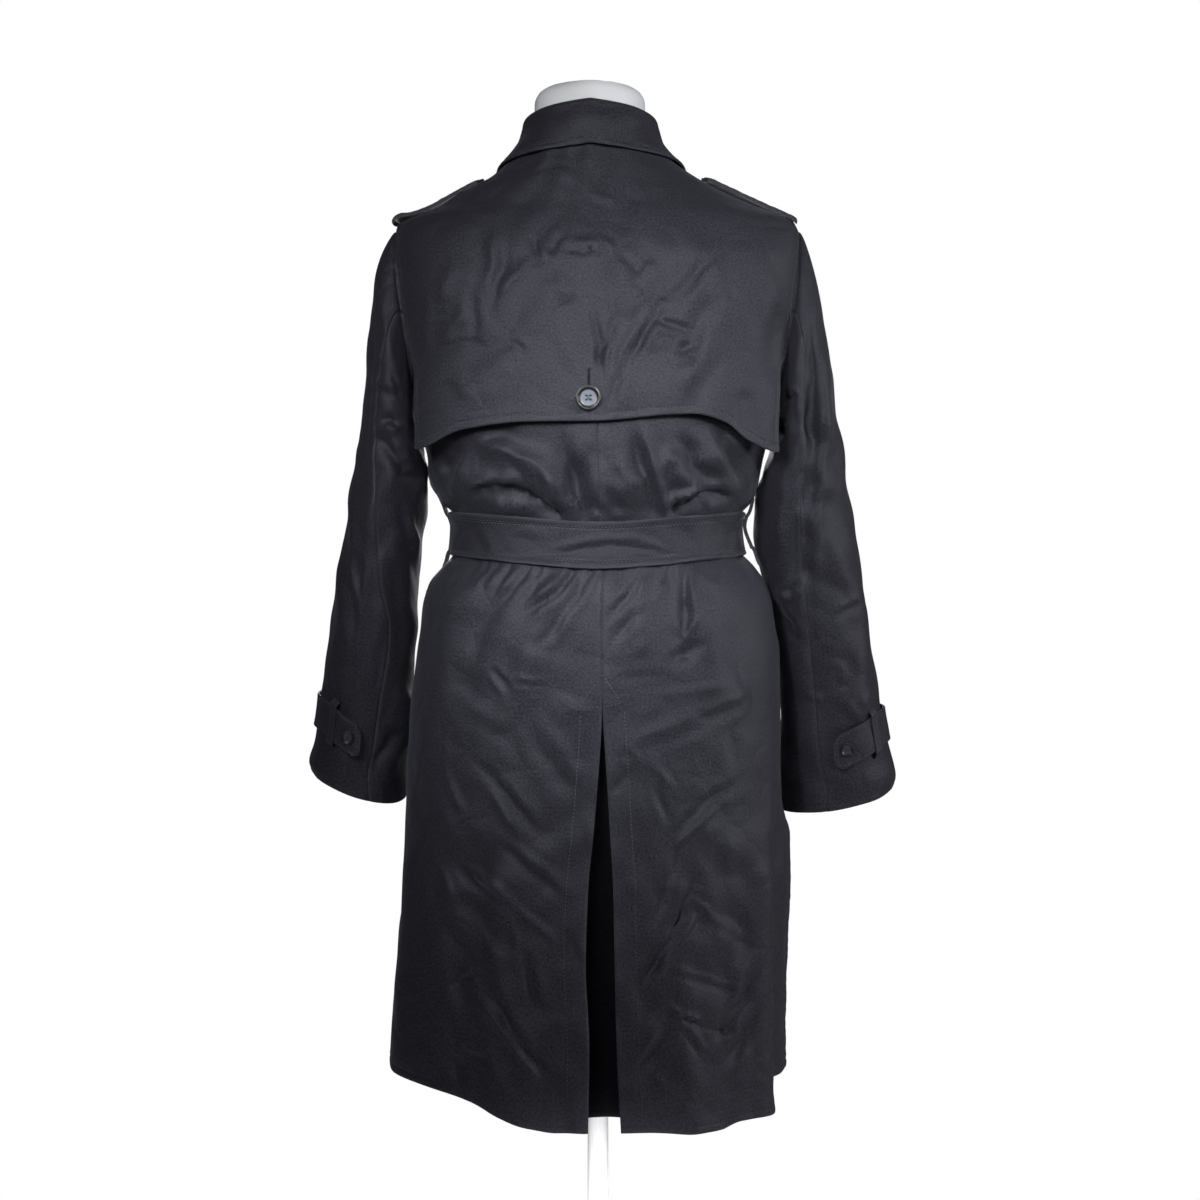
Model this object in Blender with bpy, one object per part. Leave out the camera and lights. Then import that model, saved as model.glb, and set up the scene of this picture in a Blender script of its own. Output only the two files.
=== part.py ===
"""A belted, double-breasted trench coat, carried by a limbless dress form on a pole stand.

Metres, +Z up.  The coat faces -Y and the wearer's left is +X.  The origin is the middle of the
stand's underside.  Every cloth piece is a thin wall on a surface that is worked out from a short
table of sections; a "turn" is an angle in degrees round the body, 0 at the centre back, 90 at the
wearer's left, 180 at the centre front.
"""

import math
from bisect import bisect_right
from collections import namedtuple

import bmesh
import bpy
from mathutils import Matrix, Vector
from mathutils.bvhtree import BVHTree

# ---------------------------------------------------------------- driving dimensions
CLOTH = 0.002  # thickness of one ply of the coat
SEAM = 0.0003  # air between two pieces that are sewn together or lie on each other
LAYER = CLOTH + SEAM  # one ply and its air
LIE = 0.0015  # air under a loose piece, which clears the facets of the ply below
ON_PLY = CLOTH + LIE  # where a loose piece that lies on one ply begins
GIRTH = 0.16  # radius that turns an angle round the body into a length

HEM_BACK = 0.457
HEM_FADE = 0.35  # height over which the uneven hem evens out
NECK_HEIGHT = 1.432

ARMHOLE_MIDDLE = 1.278
ARMHOLE_HALF_HEIGHT = 0.0885
ARMHOLE_HALF_DEPTH = 0.047
ARMHOLE_Y = -0.001
SLEEVE_TUCK = 0.001  # the sleeve starts this far inside the body's wall
SLEEVE_PIPE = 0.03  # share of the sleeve that leaves the armhole straight
SLEEVE_PUSH = 0.008  # how far that share reaches sideways
SLEEVE_BLEND = 0.10

BELT_WIDTH = 0.050
BELT_THICK = 0.003
BELT_MIDDLE = 1.0360
BELT_RISE = 0.0120  # the belt lies this much higher at the sides and front

OVERLAP_TURN = 31.0  # how far each front passes the centre front
OVERLAP_STEP = 15.0  # turn in which the upper front comes down to the lower ply
BREAK_HEIGHT = 1.199  # where the lapels start to turn back
ROLL_TOP_TURN = 108.0
LAPEL_POINT_HEIGHT = 1.342
LAPEL_TOP_HEIGHT = 1.386
LAPEL_WIDTH = 0.082
LAPEL_ARM = 0.175  # distance of the lapels from the body's middle line
LAPEL_STAND = ON_PLY + 0.0014  # a lapel is turned back softly, not pressed flat

PLEAT_TOP = 0.930
UNDERLAY_HALF_TURN = 32.0
UNDERLAY_DIP = 0.020
UNDERLAY_HEM = 0.012

FLAP_JOIN = 1.262  # above this height the storm flap lies on the back, below it hangs free
FLAP_FREE = 0.075
FLAP_LEVEL = 1.300  # below this height the flap's rows follow its hem
FLAP_TOP = 1.430

CUFF_STRAP_HALF = 0.029  # in shares of the sleeve's length
CUFF_STRAP_THICK = 0.0020
BUTTON_THICK = 0.0034
SMALL_BUTTON_THICK = 0.0024
EPAULETTE_HALF_WIDTH = 0.022
EPAULETTE_DROP = 0.0018

POLE_RADIUS = 0.011
BASE_RADIUS = 0.170
BASE_THICK = 0.012
FORM_BOTTOM = 0.800


class Profile:
    """A table of named numbers, read on a smooth curve that never overshoots its rows."""

    def __init__(self, columns, rows):
        self.row = namedtuple("Row", columns)
        self.rows = rows
        self.keys = [row[0] for row in rows]
        self.slopes = [self.slope(index) for index in range(len(rows))]

    def step(self, index, column):
        rise = self.rows[index + 1][column] - self.rows[index][column]
        return rise / (self.keys[index + 1] - self.keys[index])

    def slope(self, index):
        if index == 0 or index == len(self.rows) - 1:
            near = min(index, len(self.rows) - 2)
            return [self.step(near, column) for column in range(1, len(self.rows[0]))]
        found = []
        for column in range(1, len(self.rows[0])):
            before = self.step(index - 1, column)
            after = self.step(index, column)
            same_way = before * after > 0
            found.append(2 * before * after / (before + after) if same_way else 0.0)
        return found

    def at(self, key):
        key = min(max(key, self.keys[0]), self.keys[-1])
        index = min(bisect_right(self.keys, key) - 1, len(self.keys) - 2)
        width = self.keys[index + 1] - self.keys[index]
        t = (key - self.keys[index]) / width
        start = (1 + 2 * t) * (1 - t) ** 2
        end = t * t * (3 - 2 * t)
        leave = t * (1 - t) ** 2 * width
        arrive = t * t * (t - 1) * width
        values = [key]
        for column in range(1, len(self.rows[0])):
            values.append(
                start * self.rows[index][column]
                + end * self.rows[index + 1][column]
                + leave * self.slopes[index][column - 1]
                + arrive * self.slopes[index + 1][column - 1]
            )
        return self.row(*values)


# The coat's inner face: half widths to the left and right, depths to the back and front, how
# square the section is, how much it tips down towards the front, and how far it sits to the left.
SECTION = "height left right back front square lean shift"
BODY = Profile(
    SECTION,
    [
        (0.4400, 0.2170, 0.1925, 0.1600, 0.1660, 2.30, 0.00, 0.0000),
        (0.5300, 0.2140, 0.1900, 0.1540, 0.1610, 2.30, 0.00, 0.0000),
        (0.6200, 0.2065, 0.1925, 0.1480, 0.1560, 2.30, 0.00, 0.0000),
        (0.6900, 0.2010, 0.1955, 0.1440, 0.1520, 2.30, 0.00, 0.0000),
        (0.7350, 0.2000, 0.1950, 0.1420, 0.1500, 2.30, 0.00, 0.0000),
        (0.7750, 0.1990, 0.1900, 0.1400, 0.1480, 2.30, 0.00, 0.0000),
        (0.8500, 0.1955, 0.1890, 0.1370, 0.1450, 2.30, 0.00, 0.0000),
        (0.9250, 0.1875, 0.1880, 0.1330, 0.1410, 2.30, 0.00, 0.0000),
        (0.9500, 0.1835, 0.1840, 0.1305, 0.1375, 2.30, 0.00, 0.0000),
        (0.9720, 0.1815, 0.1805, 0.1275, 0.1340, 2.30, 0.00, 0.0000),
        (0.9940, 0.1755, 0.1730, 0.1220, 0.1240, 2.30, 0.00, 0.0000),
        (1.0120, 0.1610, 0.1615, 0.1140, 0.1150, 2.30, 0.00, 0.0000),
        (1.0280, 0.1485, 0.1480, 0.1070, 0.1120, 2.30, 0.00, 0.0000),
        (1.0550, 0.1465, 0.1450, 0.1050, 0.1110, 2.30, 0.00, 0.0000),
        (1.0700, 0.1505, 0.1480, 0.1080, 0.1120, 2.30, 0.00, 0.0000),
        (1.0830, 0.1625, 0.1590, 0.1160, 0.1135, 2.30, 0.00, 0.0000),
        (1.1000, 0.1740, 0.1655, 0.1220, 0.1185, 2.35, 0.00, 0.0000),
        (1.1350, 0.1775, 0.1730, 0.1230, 0.1310, 2.45, 0.00, 0.0000),
        (1.1890, 0.1850, 0.1810, 0.1210, 0.1400, 2.60, 0.00, 0.0000),
        (1.2400, 0.1955, 0.1930, 0.1195, 0.1380, 2.60, 0.00, 0.0000),
        (1.2900, 0.2050, 0.2030, 0.1160, 0.1300, 2.60, 0.00, 0.0000),
        (1.3300, 0.2090, 0.2070, 0.1080, 0.1190, 2.50, 0.00, 0.0000),
        (1.3530, 0.2085, 0.2065, 0.0990, 0.1070, 2.40, 0.00, 0.0000),
        (1.3680, 0.2040, 0.2020, 0.0920, 0.0980, 2.30, 0.00, 0.0000),
        (1.3820, 0.1620, 0.1725, 0.0850, 0.0890, 2.25, 0.00, 0.0030),
        (1.3960, 0.1390, 0.1415, 0.0780, 0.0800, 2.20, 0.05, 0.0060),
        (1.4100, 0.1060, 0.1120, 0.0705, 0.0720, 2.20, 0.15, 0.0075),
        (1.4215, 0.0895, 0.0910, 0.0640, 0.0660, 2.20, 0.25, 0.0080),
        (1.4320, 0.0770, 0.0770, 0.0600, 0.0620, 2.20, 0.33, 0.0080),
    ],
)

# The free lower part of the storm flap, which hangs straight from the shoulder blades.
FLAP = Profile(
    SECTION,
    [
        (1.1200, 0.2090, 0.2050, 0.1330, 0.1400, 2.60, 0.00, 0.0000),
        (1.2000, 0.2060, 0.2030, 0.1290, 0.1400, 2.60, 0.00, 0.0000),
        (1.2620, 0.2040, 0.2010, 0.1235, 0.1380, 2.60, 0.00, 0.0000),
    ],
)
FLAP_EDGE = Profile(
    "height turn",
    [(1.120, 66.5), (1.190, 68.5), (1.215, 71.0), (1.238, 75.5), (1.262, 77.0)],
)
FLAP_HEM = Profile(
    "turn height",
    [
        (-90, 1.130),
        (-66, 1.131),
        (-56, 1.142),
        (-48, 1.160),
        (-38, 1.168),
        (0, 1.161),
        (30, 1.160),
        (50, 1.153),
        (66, 1.134),
        (90, 1.134),
    ],
)
HEM = Profile(
    "turn height",
    [
        (-180, 0.492),
        (-100, 0.491),
        (-72, 0.488),
        (-66, 0.4595),
        (-52, 0.4595),
        (-44, 0.4545),
        (-34, 0.4545),
        (-18, 0.4585),
        (0, 0.4585),
        (14, 0.4585),
        (24, 0.4625),
        (34, 0.4720),
        (44, 0.4835),
        (60, 0.4930),
        (75, 0.498),
        (90, 0.501),
        (180, 0.501),
    ],
)

# Where the two back panels end beside the centre back: one seam above, an open pleat below.
CENTRE_BACK = Profile(
    "height left right",
    [
        (0.440, 0.0100, -0.0235),
        (0.540, 0.0085, -0.0185),
        (0.620, 0.0120, -0.0165),
        (0.698, 0.0095, -0.0150),
        (0.749, 0.0045, -0.0120),
        (0.810, -0.0005, -0.0085),
        (0.870, -0.0042, -0.0048),
        (0.890, -0.0045, -0.0045),
        (1.070, -0.0040, -0.0040),
        (1.160, 0.0010, 0.0010),
        (1.433, 0.0, 0.0),
    ],
)

# Folds of the body, each a straight run from one place to another; depth is outward.
Fold = namedtuple("Fold", "turn_a height_a turn_b height_b depth width")
BODY_FOLDS = [
    Fold(*row)
    for row in [
        # skirt, back
        (-34, 1.000, -36, 0.930, -0.0045, 0.010),
        (-41, 0.995, -46, 0.900, 0.0040, 0.013),
        (-20, 0.995, -17, 0.940, 0.0028, 0.012),
        (22, 0.995, 30, 0.900, 0.0034, 0.015),
        (44, 0.985, 52, 0.900, -0.0036, 0.014),
        (60, 0.975, 66, 0.820, 0.0035, 0.018),
        (-63, 0.700, -63, 0.440, 0.0060, 0.015),
        (-73, 0.740, -73, 0.440, -0.0075, 0.012),
        (-92, 0.730, -90, 0.440, 0.0050, 0.020),
        (-52, 0.700, -48, 0.440, -0.0040, 0.022),
        (-28, 0.640, -30, 0.440, 0.0035, 0.022),
        (34, 0.760, 28, 0.440, 0.0045, 0.022),
        (50, 0.720, 47, 0.440, -0.0045, 0.020),
        (74, 0.700, 70, 0.440, 0.0050, 0.022),
        # skirt, sides and front
        (100, 0.930, 104, 0.440, -0.0045, 0.022),
        (120, 0.960, 124, 0.440, 0.0040, 0.024),
        (138, 0.990, 142, 0.460, -0.0035, 0.018),
        (-112, 0.950, -116, 0.440, -0.0045, 0.022),
        (-130, 0.980, -134, 0.440, 0.0040, 0.022),
        # blousing over the belt
        (62, 1.092, 30, 1.110, 0.0040, 0.010),
        (46, 1.088, 16, 1.086, -0.0028, 0.008),
        (66, 1.115, 40, 1.150, -0.0035, 0.011),
        (20, 1.100, 6, 1.140, 0.0028, 0.010),
        (-12, 1.092, -30, 1.120, 0.0034, 0.010),
        (-28, 1.088, -52, 1.106, -0.0034, 0.009),
        (-40, 1.110, -64, 1.150, 0.0040, 0.011),
        (100, 1.100, 128, 1.130, 0.0038, 0.013),
        (-100, 1.104, -126, 1.128, 0.0038, 0.013),
    ]
]

# Soft folds of the storm flap.
FLAP_FOLDS = [
    Fold(*row)
    for row in [
        (-6, 1.330, -34, 1.215, 0.0026, 0.016),
        (-22, 1.300, -50, 1.220, -0.0022, 0.014),
        (-44, 1.330, -58, 1.250, 0.0024, 0.014),
        (18, 1.300, 36, 1.220, 0.0022, 0.016),
        (40, 1.270, 56, 1.190, -0.0022, 0.014),
        (-54, 1.180, -58, 1.130, -0.0040, 0.009),
    ]
]

# Sleeve rings: the outer and the inner point of each, its middle and half depth from back to
# front, the turn of the back seam round the sleeve (0 outside, 90 behind), and how far the back
# of the ring hangs below its middle.
RING = "along outer_x outer_z inner_x inner_z middle_y half_depth seam lean"
SLEEVES = {
    1: Profile(
        RING,
        [
            (0.00, 0.2120, 1.3645, 0.1910, 1.1900, -0.001, 0.047, 92, 0.0),
            (0.05, 0.2212, 1.3580, 0.1910, 1.1800, -0.001, 0.055, 90, 0.0),
            (0.09, 0.2300, 1.3380, 0.1900, 1.1700, -0.002, 0.060, 84, 0.0),
            (0.14, 0.2352, 1.3050, 0.1885, 1.1580, -0.002, 0.064, 76, 0.0),
            (0.20, 0.2385, 1.2680, 0.1860, 1.1450, -0.003, 0.066, 68, 0.0),
            (0.27, 0.2430, 1.2240, 0.1830, 1.1290, -0.004, 0.067, 62, 0.0),
            (0.34, 0.2482, 1.1750, 0.1785, 1.1080, -0.006, 0.067, 62, 0.0),
            (0.42, 0.2553, 1.1220, 0.1800, 1.0820, -0.010, 0.066, 72, 0.0),
            (0.50, 0.2645, 1.0720, 0.1838, 1.0480, -0.015, 0.065, 84, 0.0),
            (0.60, 0.2752, 1.0116, 0.1908, 0.9930, -0.022, 0.063, 100, 0.001),
            (0.70, 0.2842, 0.9507, 0.1925, 0.9380, -0.030, 0.061, 118, 0.002),
            (0.80, 0.2927, 0.8923, 0.1980, 0.8800, -0.038, 0.059, 114, 0.004),
            (0.90, 0.3012, 0.8358, 0.2030, 0.8235, -0.045, 0.057, 110, 0.007),
            (0.96, 0.3085, 0.8080, 0.2055, 0.7900, -0.048, 0.056, 108, 0.009),
            (1.00, 0.3045, 0.7965, 0.2055, 0.7655, -0.050, 0.055, 108, 0.010),
        ],
    ),
    -1: Profile(
        RING,
        [
            (0.00, 0.2100, 1.3645, 0.1870, 1.1900, -0.001, 0.047, 92, 0.0),
            (0.05, 0.2195, 1.3560, 0.1870, 1.1800, -0.001, 0.055, 90, 0.0),
            (0.09, 0.2262, 1.3330, 0.1870, 1.1700, -0.002, 0.060, 86, 0.0),
            (0.14, 0.2322, 1.2980, 0.1860, 1.1580, -0.002, 0.064, 82, 0.0),
            (0.20, 0.2368, 1.2560, 0.1835, 1.1450, -0.003, 0.066, 84, 0.0),
            (0.27, 0.2445, 1.2110, 0.1800, 1.1290, -0.004, 0.067, 88, 0.0),
            (0.34, 0.2522, 1.1640, 0.1730, 1.1080, -0.006, 0.067, 92, 0.0),
            (0.42, 0.2606, 1.1130, 0.1655, 1.0820, -0.010, 0.066, 96, 0.0),
            (0.50, 0.2682, 1.0680, 0.1650, 1.0480, -0.015, 0.065, 100, 0.0),
            (0.60, 0.2790, 1.0065, 0.1755, 0.9920, -0.022, 0.063, 106, 0.001),
            (0.70, 0.2877, 0.9466, 0.1885, 0.9300, -0.030, 0.061, 112, 0.002),
            (0.80, 0.2975, 0.8870, 0.1935, 0.8700, -0.038, 0.060, 112, 0.003),
            (0.90, 0.3090, 0.8277, 0.1955, 0.8100, -0.045, 0.059, 110, 0.0045),
            (0.96, 0.3175, 0.7905, 0.1985, 0.7760, -0.048, 0.058, 108, 0.006),
            (1.00, 0.3145, 0.7765, 0.1985, 0.7545, -0.050, 0.057, 108, 0.0065),
        ],
    ),
}
FRONT_SEAM = -115.0  # the sleeve's other seam, inside the arm

# Folds of the sleeves, from one turn and share of the length to another.
SleeveFold = namedtuple("SleeveFold", "turn_a along_a turn_b along_b depth width")
SLEEVE_FOLDS = {
    1: [
        SleeveFold(*row)
        for row in [
            (40, 0.16, 46, 0.40, -0.0030, 0.012),
            (100, 0.40, 60, 0.52, 0.0030, 0.012),
            (110, 0.50, 70, 0.60, -0.0028, 0.010),
            (30, 0.60, 70, 0.74, 0.0024, 0.012),
            (-40, 0.20, -50, 0.60, -0.0030, 0.014),
            (-80, 0.55, -20, 0.62, -0.0028, 0.012),
        ]
    ],
    -1: [
        SleeveFold(*row)
        for row in [
            (52, 0.14, 60, 0.44, 0.0036, 0.011),
            (76, 0.18, 84, 0.46, -0.0036, 0.010),
            (96, 0.48, 60, 0.56, 0.0034, 0.012),
            (100, 0.58, 62, 0.62, -0.0034, 0.010),
            (36, 0.62, 50, 0.82, 0.0026, 0.012),
            (-40, 0.20, -50, 0.60, -0.0030, 0.014),
            (-80, 0.55, -20, 0.62, -0.0028, 0.012),
        ]
    ],
}
SLEEVE_GIRTH = 0.055  # radius that turns an angle round the sleeve into a length
SLEEVE_LENGTH = 0.58

# The collar's top fold, and its free lower edge, which is given by a place on the body's surface
# and how far it stands off.
COLLAR_TURN = 148.0
COLLAR_FOLD = Profile(
    "turn out height",
    [(0, 0.0640, 1.4930), (60, 0.0655, 1.4840), (90, 0.0675, 1.4770), (120, 0.0680, 1.4520),
     (148, 0.0720, 1.4240)],
)
COLLAR_EDGE = Profile(
    "turn height off",
    [(0, 1.4265, 0.0105), (41, 1.4220, 0.0095), (62, 1.4200, 0.0085), (90, 1.4185, 0.0080),
     (106, 1.4130, 0.0095), (118, 1.4020, 0.0105), (135, 1.3740, 0.0110), (148, 1.3780, 0.0110)],
)
COLLAR_SHIFT = 0.0080

# An epaulette from its neck end along the shoulder and over its tip.
EPAULETTES = {
    1: Profile(
        "along x height",
        [
            (0.00, 0.1190, 1.4156),
            (0.11, 0.1270, 1.4130),
            (0.30, 0.1440, 1.4048),
            (0.48, 0.1600, 1.3958),
            (0.66, 0.1790, 1.3860),
            (0.80, 0.1960, 1.3806),
            (0.87, 0.2040, 1.3798),
            (0.92, 0.2105, 1.3780),
            (0.95, 0.2120, 1.3756),
            (0.97, 0.2105, 1.3736),
            (1.00, 0.2070, 1.3730),
        ],
    ),
    -1: Profile(
        "along x height",
        [
            (0.00, 0.1080, 1.4190),
            (0.11, 0.1160, 1.4182),
            (0.30, 0.1340, 1.4108),
            (0.48, 0.1525, 1.4021),
            (0.66, 0.1710, 1.3937),
            (0.80, 0.1870, 1.3866),
            (0.88, 0.1960, 1.3829),
            (0.94, 0.2020, 1.3810),
            (1.00, 0.2060, 1.3787),
        ],
    ),
}

# The dress form, clear of the cloth but for the shoulders.
FORM = Profile(
    SECTION,
    [
        (0.8000, 0.1480, 0.1460, 0.1020, 0.1060, 2.20, 0.00, 0.0000),
        (0.8500, 0.1620, 0.1580, 0.1120, 0.1160, 2.20, 0.00, 0.0000),
        (0.9300, 0.1680, 0.1640, 0.1180, 0.1200, 2.20, 0.00, 0.0000),
        (1.0000, 0.1500, 0.1470, 0.1040, 0.1080, 2.20, 0.00, 0.0000),
        (1.0450, 0.1280, 0.1260, 0.0880, 0.0940, 2.20, 0.00, 0.0000),
        (1.1000, 0.1360, 0.1330, 0.0920, 0.1040, 2.20, 0.00, 0.0000),
        (1.1900, 0.1560, 0.1540, 0.1030, 0.1220, 2.20, 0.00, 0.0000),
        (1.2600, 0.1740, 0.1720, 0.1050, 0.1220, 2.20, 0.00, 0.0000),
        (1.3300, 0.1870, 0.1850, 0.0990, 0.1060, 2.20, 0.00, 0.0000),
        (1.3580, 0.1890, 0.1880, 0.0920, 0.0960, 2.20, 0.00, 0.0000),
        (1.3740, 0.1740, 0.1760, 0.0860, 0.0900, 2.20, 0.00, 0.0015),
        (1.4145, 0.0940, 0.0970, 0.0630, 0.0640, 2.20, 0.18, 0.0078),
        (1.4225, 0.0800, 0.0800, 0.0580, 0.0590, 2.20, 0.25, 0.0080),
        (1.4320, 0.0680, 0.0680, 0.0545, 0.0555, 2.20, 0.30, 0.0080),
        (1.4450, 0.0610, 0.0610, 0.0530, 0.0540, 2.15, 0.20, 0.0085),
        (1.4650, 0.0585, 0.0585, 0.0525, 0.0535, 2.10, 0.08, 0.0085),
        (1.4980, 0.0580, 0.0580, 0.0520, 0.0530, 2.10, 0.00, 0.0085),
        (1.5080, 0.0540, 0.0540, 0.0485, 0.0495, 2.10, 0.00, 0.0085),
        (1.5160, 0.0420, 0.0420, 0.0375, 0.0380, 2.05, 0.00, 0.0085),
        (1.5210, 0.0200, 0.0200, 0.0180, 0.0180, 2.00, 0.00, 0.0085),
    ],
)
FORM_TOUCH_LOW = 1.376
FORM_TOUCH_HIGH = 1.4060
FORM_AIR = 0.0013


# ---------------------------------------------------------------- finishes
def finish(name, colour, roughness, metallic=0.0):
    """A plain finish of one colour."""
    material = bpy.data.materials.new(name)
    material.use_nodes = True
    shader = material.node_tree.nodes["Principled BSDF"]
    shader.inputs["Base Color"].default_value = (*colour, 1.0)
    shader.inputs["Roughness"].default_value = roughness
    shader.inputs["Metallic"].default_value = metallic
    material.diffuse_color = (*colour, 1.0)
    return material


def make_finishes():
    """One finish for each kind of surface; each piece then gets a copy under its own name."""
    return {
        "gabardine": finish("gabardine", (0.022, 0.023, 0.028), 0.80),
        "button": finish("button", (0.010, 0.010, 0.012), 0.18),
        "leather": finish("leather", (0.012, 0.012, 0.014), 0.40),
        "form_cover": finish("form_cover", (0.86, 0.86, 0.89), 0.60),
        "lacquer": finish("lacquer", (0.85, 0.85, 0.87), 0.35),
    }


# ---------------------------------------------------------------- helpers
def ease(value):
    """0 below 0, 1 above 1, and a soft step between."""
    value = min(max(value, 0.0), 1.0)
    return value * value * (3 - 2 * value)


def blend(start, end, share):
    return start + (end - start) * share


def steps(start, end, count):
    return [blend(start, end, index / count) for index in range(count + 1)]


def hump(across, up, across_a, up_a, across_b, up_b, width):
    """1 on a straight run from a to b, falling off softly to 0 on all sides."""
    run_across = across_b - across_a
    run_up = up_b - up_a
    share = (across - across_a) * run_across + (up - up_a) * run_up
    share = min(max(share / (run_across**2 + run_up**2), 0.0), 1.0)
    miss_across = across - across_a - share * run_across
    miss_up = up - up_a - share * run_up
    return math.exp(-(miss_across**2 + miss_up**2) / width**2)


def fold_depth(folds, turn, height):
    """How far the folds of a body piece stand out at one place."""
    across = math.radians(turn) * GIRTH
    total = 0.0
    for fold in folds:
        a = math.radians(fold.turn_a) * GIRTH
        b = math.radians(fold.turn_b) * GIRTH
        if min(a, b) - 3 * fold.width < across < max(a, b) + 3 * fold.width:
            total += fold.depth * hump(across, height, a, fold.height_a, b, fold.height_b, fold.width)
    return total


def add_object(name, mesh_builder, material):
    """Close a bmesh into one named object with its own copy of a finish."""
    bmesh.ops.recalc_face_normals(mesh_builder, faces=mesh_builder.faces)
    mesh = bpy.data.meshes.new(name)
    mesh_builder.to_mesh(mesh)
    mesh_builder.free()
    own = material.copy()
    own.name = name
    mesh.materials.append(own)
    mesh.shade_smooth()
    mesh.set_sharp_from_angle(angle=math.radians(40))
    piece = bpy.data.objects.new(name, mesh)
    bpy.context.collection.objects.link(piece)
    return piece


Hand = namedtuple("Hand", "sign turn_step row_step")
ROUND_BODY = Hand(1, 0.4, 0.0015)


def outward(surface, u, v, hand):
    """Unit vector that points away from the body at one place of a surface."""
    along_u = surface(u + hand.turn_step, v) - surface(u - hand.turn_step, v)
    along_v = surface(u, v + hand.row_step) - surface(u, v - hand.row_step)
    return (along_v.cross(along_u) * hand.sign).normalized()


def value_at(rule, u, v):
    return rule(u, v) if callable(rule) else rule


def sheet(name, surface, rows, span, shares, inside, outside, material, hand=ROUND_BODY):
    """A cloth wall on a surface.

    Each row v runs between the two turns span(v), at the given shares of the way.  inside and
    outside say how far the two faces stand off the surface.
    """
    builder = bmesh.new()
    inner_grid = []
    outer_grid = []
    for v in rows:
        start, end = span(v)
        inner_row = []
        outer_row = []
        for share in shares:
            u = blend(start, end, share)
            point = surface(u, v)
            away = outward(surface, u, v, hand)
            inner_row.append(builder.verts.new(point + away * value_at(inside, u, v)))
            outer_row.append(builder.verts.new(point + away * value_at(outside, u, v)))
        inner_grid.append(inner_row)
        outer_grid.append(outer_row)
    last_row = len(rows) - 1
    last_column = len(shares) - 1
    for i in range(last_row):
        for j in range(last_column):
            for grid in (inner_grid, outer_grid):
                builder.faces.new((grid[i][j], grid[i][j + 1], grid[i + 1][j + 1], grid[i + 1][j]))
    for j in range(last_column):
        for i in (0, last_row):
            edge = (inner_grid[i][j], inner_grid[i][j + 1], outer_grid[i][j + 1], outer_grid[i][j])
            builder.faces.new(edge)
    for i in range(last_row):
        for j in (0, last_column):
            edge = (inner_grid[i][j], inner_grid[i + 1][j], outer_grid[i + 1][j], outer_grid[i][j])
            builder.faces.new(edge)
    return add_object(name, builder, material)


def loft(name, rings, material):
    """A solid through closed rings of points, with a flat cap at each end."""
    builder = bmesh.new()
    made = [[builder.verts.new(point) for point in ring] for ring in rings]
    count = len(rings[0])
    for low, high in zip(made, made[1:]):
        for j in range(count):
            k = (j + 1) % count
            builder.faces.new((low[j], low[k], high[k], high[j]))
    for ring in (made[0], made[-1]):
        middle = builder.verts.new(sum((vert.co for vert in ring), Vector()) / count)
        for j in range(count):
            builder.faces.new((ring[j], ring[(j + 1) % count], middle))
    return add_object(name, builder, material)


def turned(name, profile, foot, axis, segments, material):
    """A round piece turned about an axis; the profile lists (radius, distance up the axis)."""
    side = axis.orthogonal().normalized()
    other = axis.cross(side)
    rings = []
    for radius, up in profile:
        ring = []
        for index in range(segments):
            angle = 2 * math.pi * index / segments
            spoke = side * math.cos(angle) + other * math.sin(angle)
            ring.append(foot + axis * up + spoke * radius)
        rings.append(ring)
    return loft(name, rings, material)


def tree_of(piece):
    corners = [vert.co for vert in piece.data.vertices]
    return BVHTree.FromPolygons(corners, [face.vertices[:] for face in piece.data.polygons])


def settle(piece, carriers, direction, riders=()):
    """Move a piece and its riders in a direction until it lies on what carries it."""
    direction = direction.normalized()
    found = []
    piece_tree = tree_of(piece)
    for name in carriers:
        carrier = bpy.data.objects[name]
        carrier_tree = tree_of(carrier)
        for vert in piece.data.vertices:
            found.append(carrier_tree.ray_cast(vert.co, direction)[3])
        for vert in carrier.data.vertices:
            found.append(piece_tree.ray_cast(vert.co, -direction)[3])
    gap = min(distance for distance in found if distance is not None)
    for moved in (piece, *riders):
        moved.data.transform(Matrix.Translation(direction * (gap - SEAM)))


# ---------------------------------------------------------------- surfaces
def section_point(section, turn, height):
    """Point of a rounded section, tipped by its lean."""
    across = math.sin(math.radians(turn))
    along = math.cos(math.radians(turn))
    wide = section.left if across >= 0 else section.right
    deep = section.back if along >= 0 else section.front
    power = section.square
    reach = (abs(across / wide) ** power + abs(along / deep) ** power) ** (-1 / power)
    y = reach * along
    return Vector((reach * across + section.shift, y, height + section.lean * y))


def wrap(turn):
    return (turn + 180.0) % 360.0 - 180.0


def body_point(turn, height):
    """The coat's inner face, with its large folds and uneven hem."""
    near = wrap(turn)
    fade = max(0.0, 1 - (height - HEM_BACK) / HEM_FADE)
    level = height + (HEM.at(near).height - HEM_BACK) * fade
    point = section_point(BODY.at(level), near, level)
    stand = fold_depth(BODY_FOLDS, near, level)
    angle = math.radians(near)
    return point + Vector((math.sin(angle), math.cos(angle), 0)) * stand


def flap_point(turn, height):
    """The storm flap: on the back above, free of it below."""
    lying = body_point(turn, height)
    lying += outward(body_point, turn, height, ROUND_BODY) * ON_PLY
    hanging = section_point(FLAP.at(height), turn, height)
    point = blend(lying, hanging, ease((FLAP_JOIN - height) / FLAP_FREE))
    angle = math.radians(turn)
    stand = max(fold_depth(FLAP_FOLDS, turn, height), 0.0 if height > 1.2 else -CLOTH)
    return point + Vector((math.sin(angle), math.cos(angle), 0)) * stand


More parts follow.
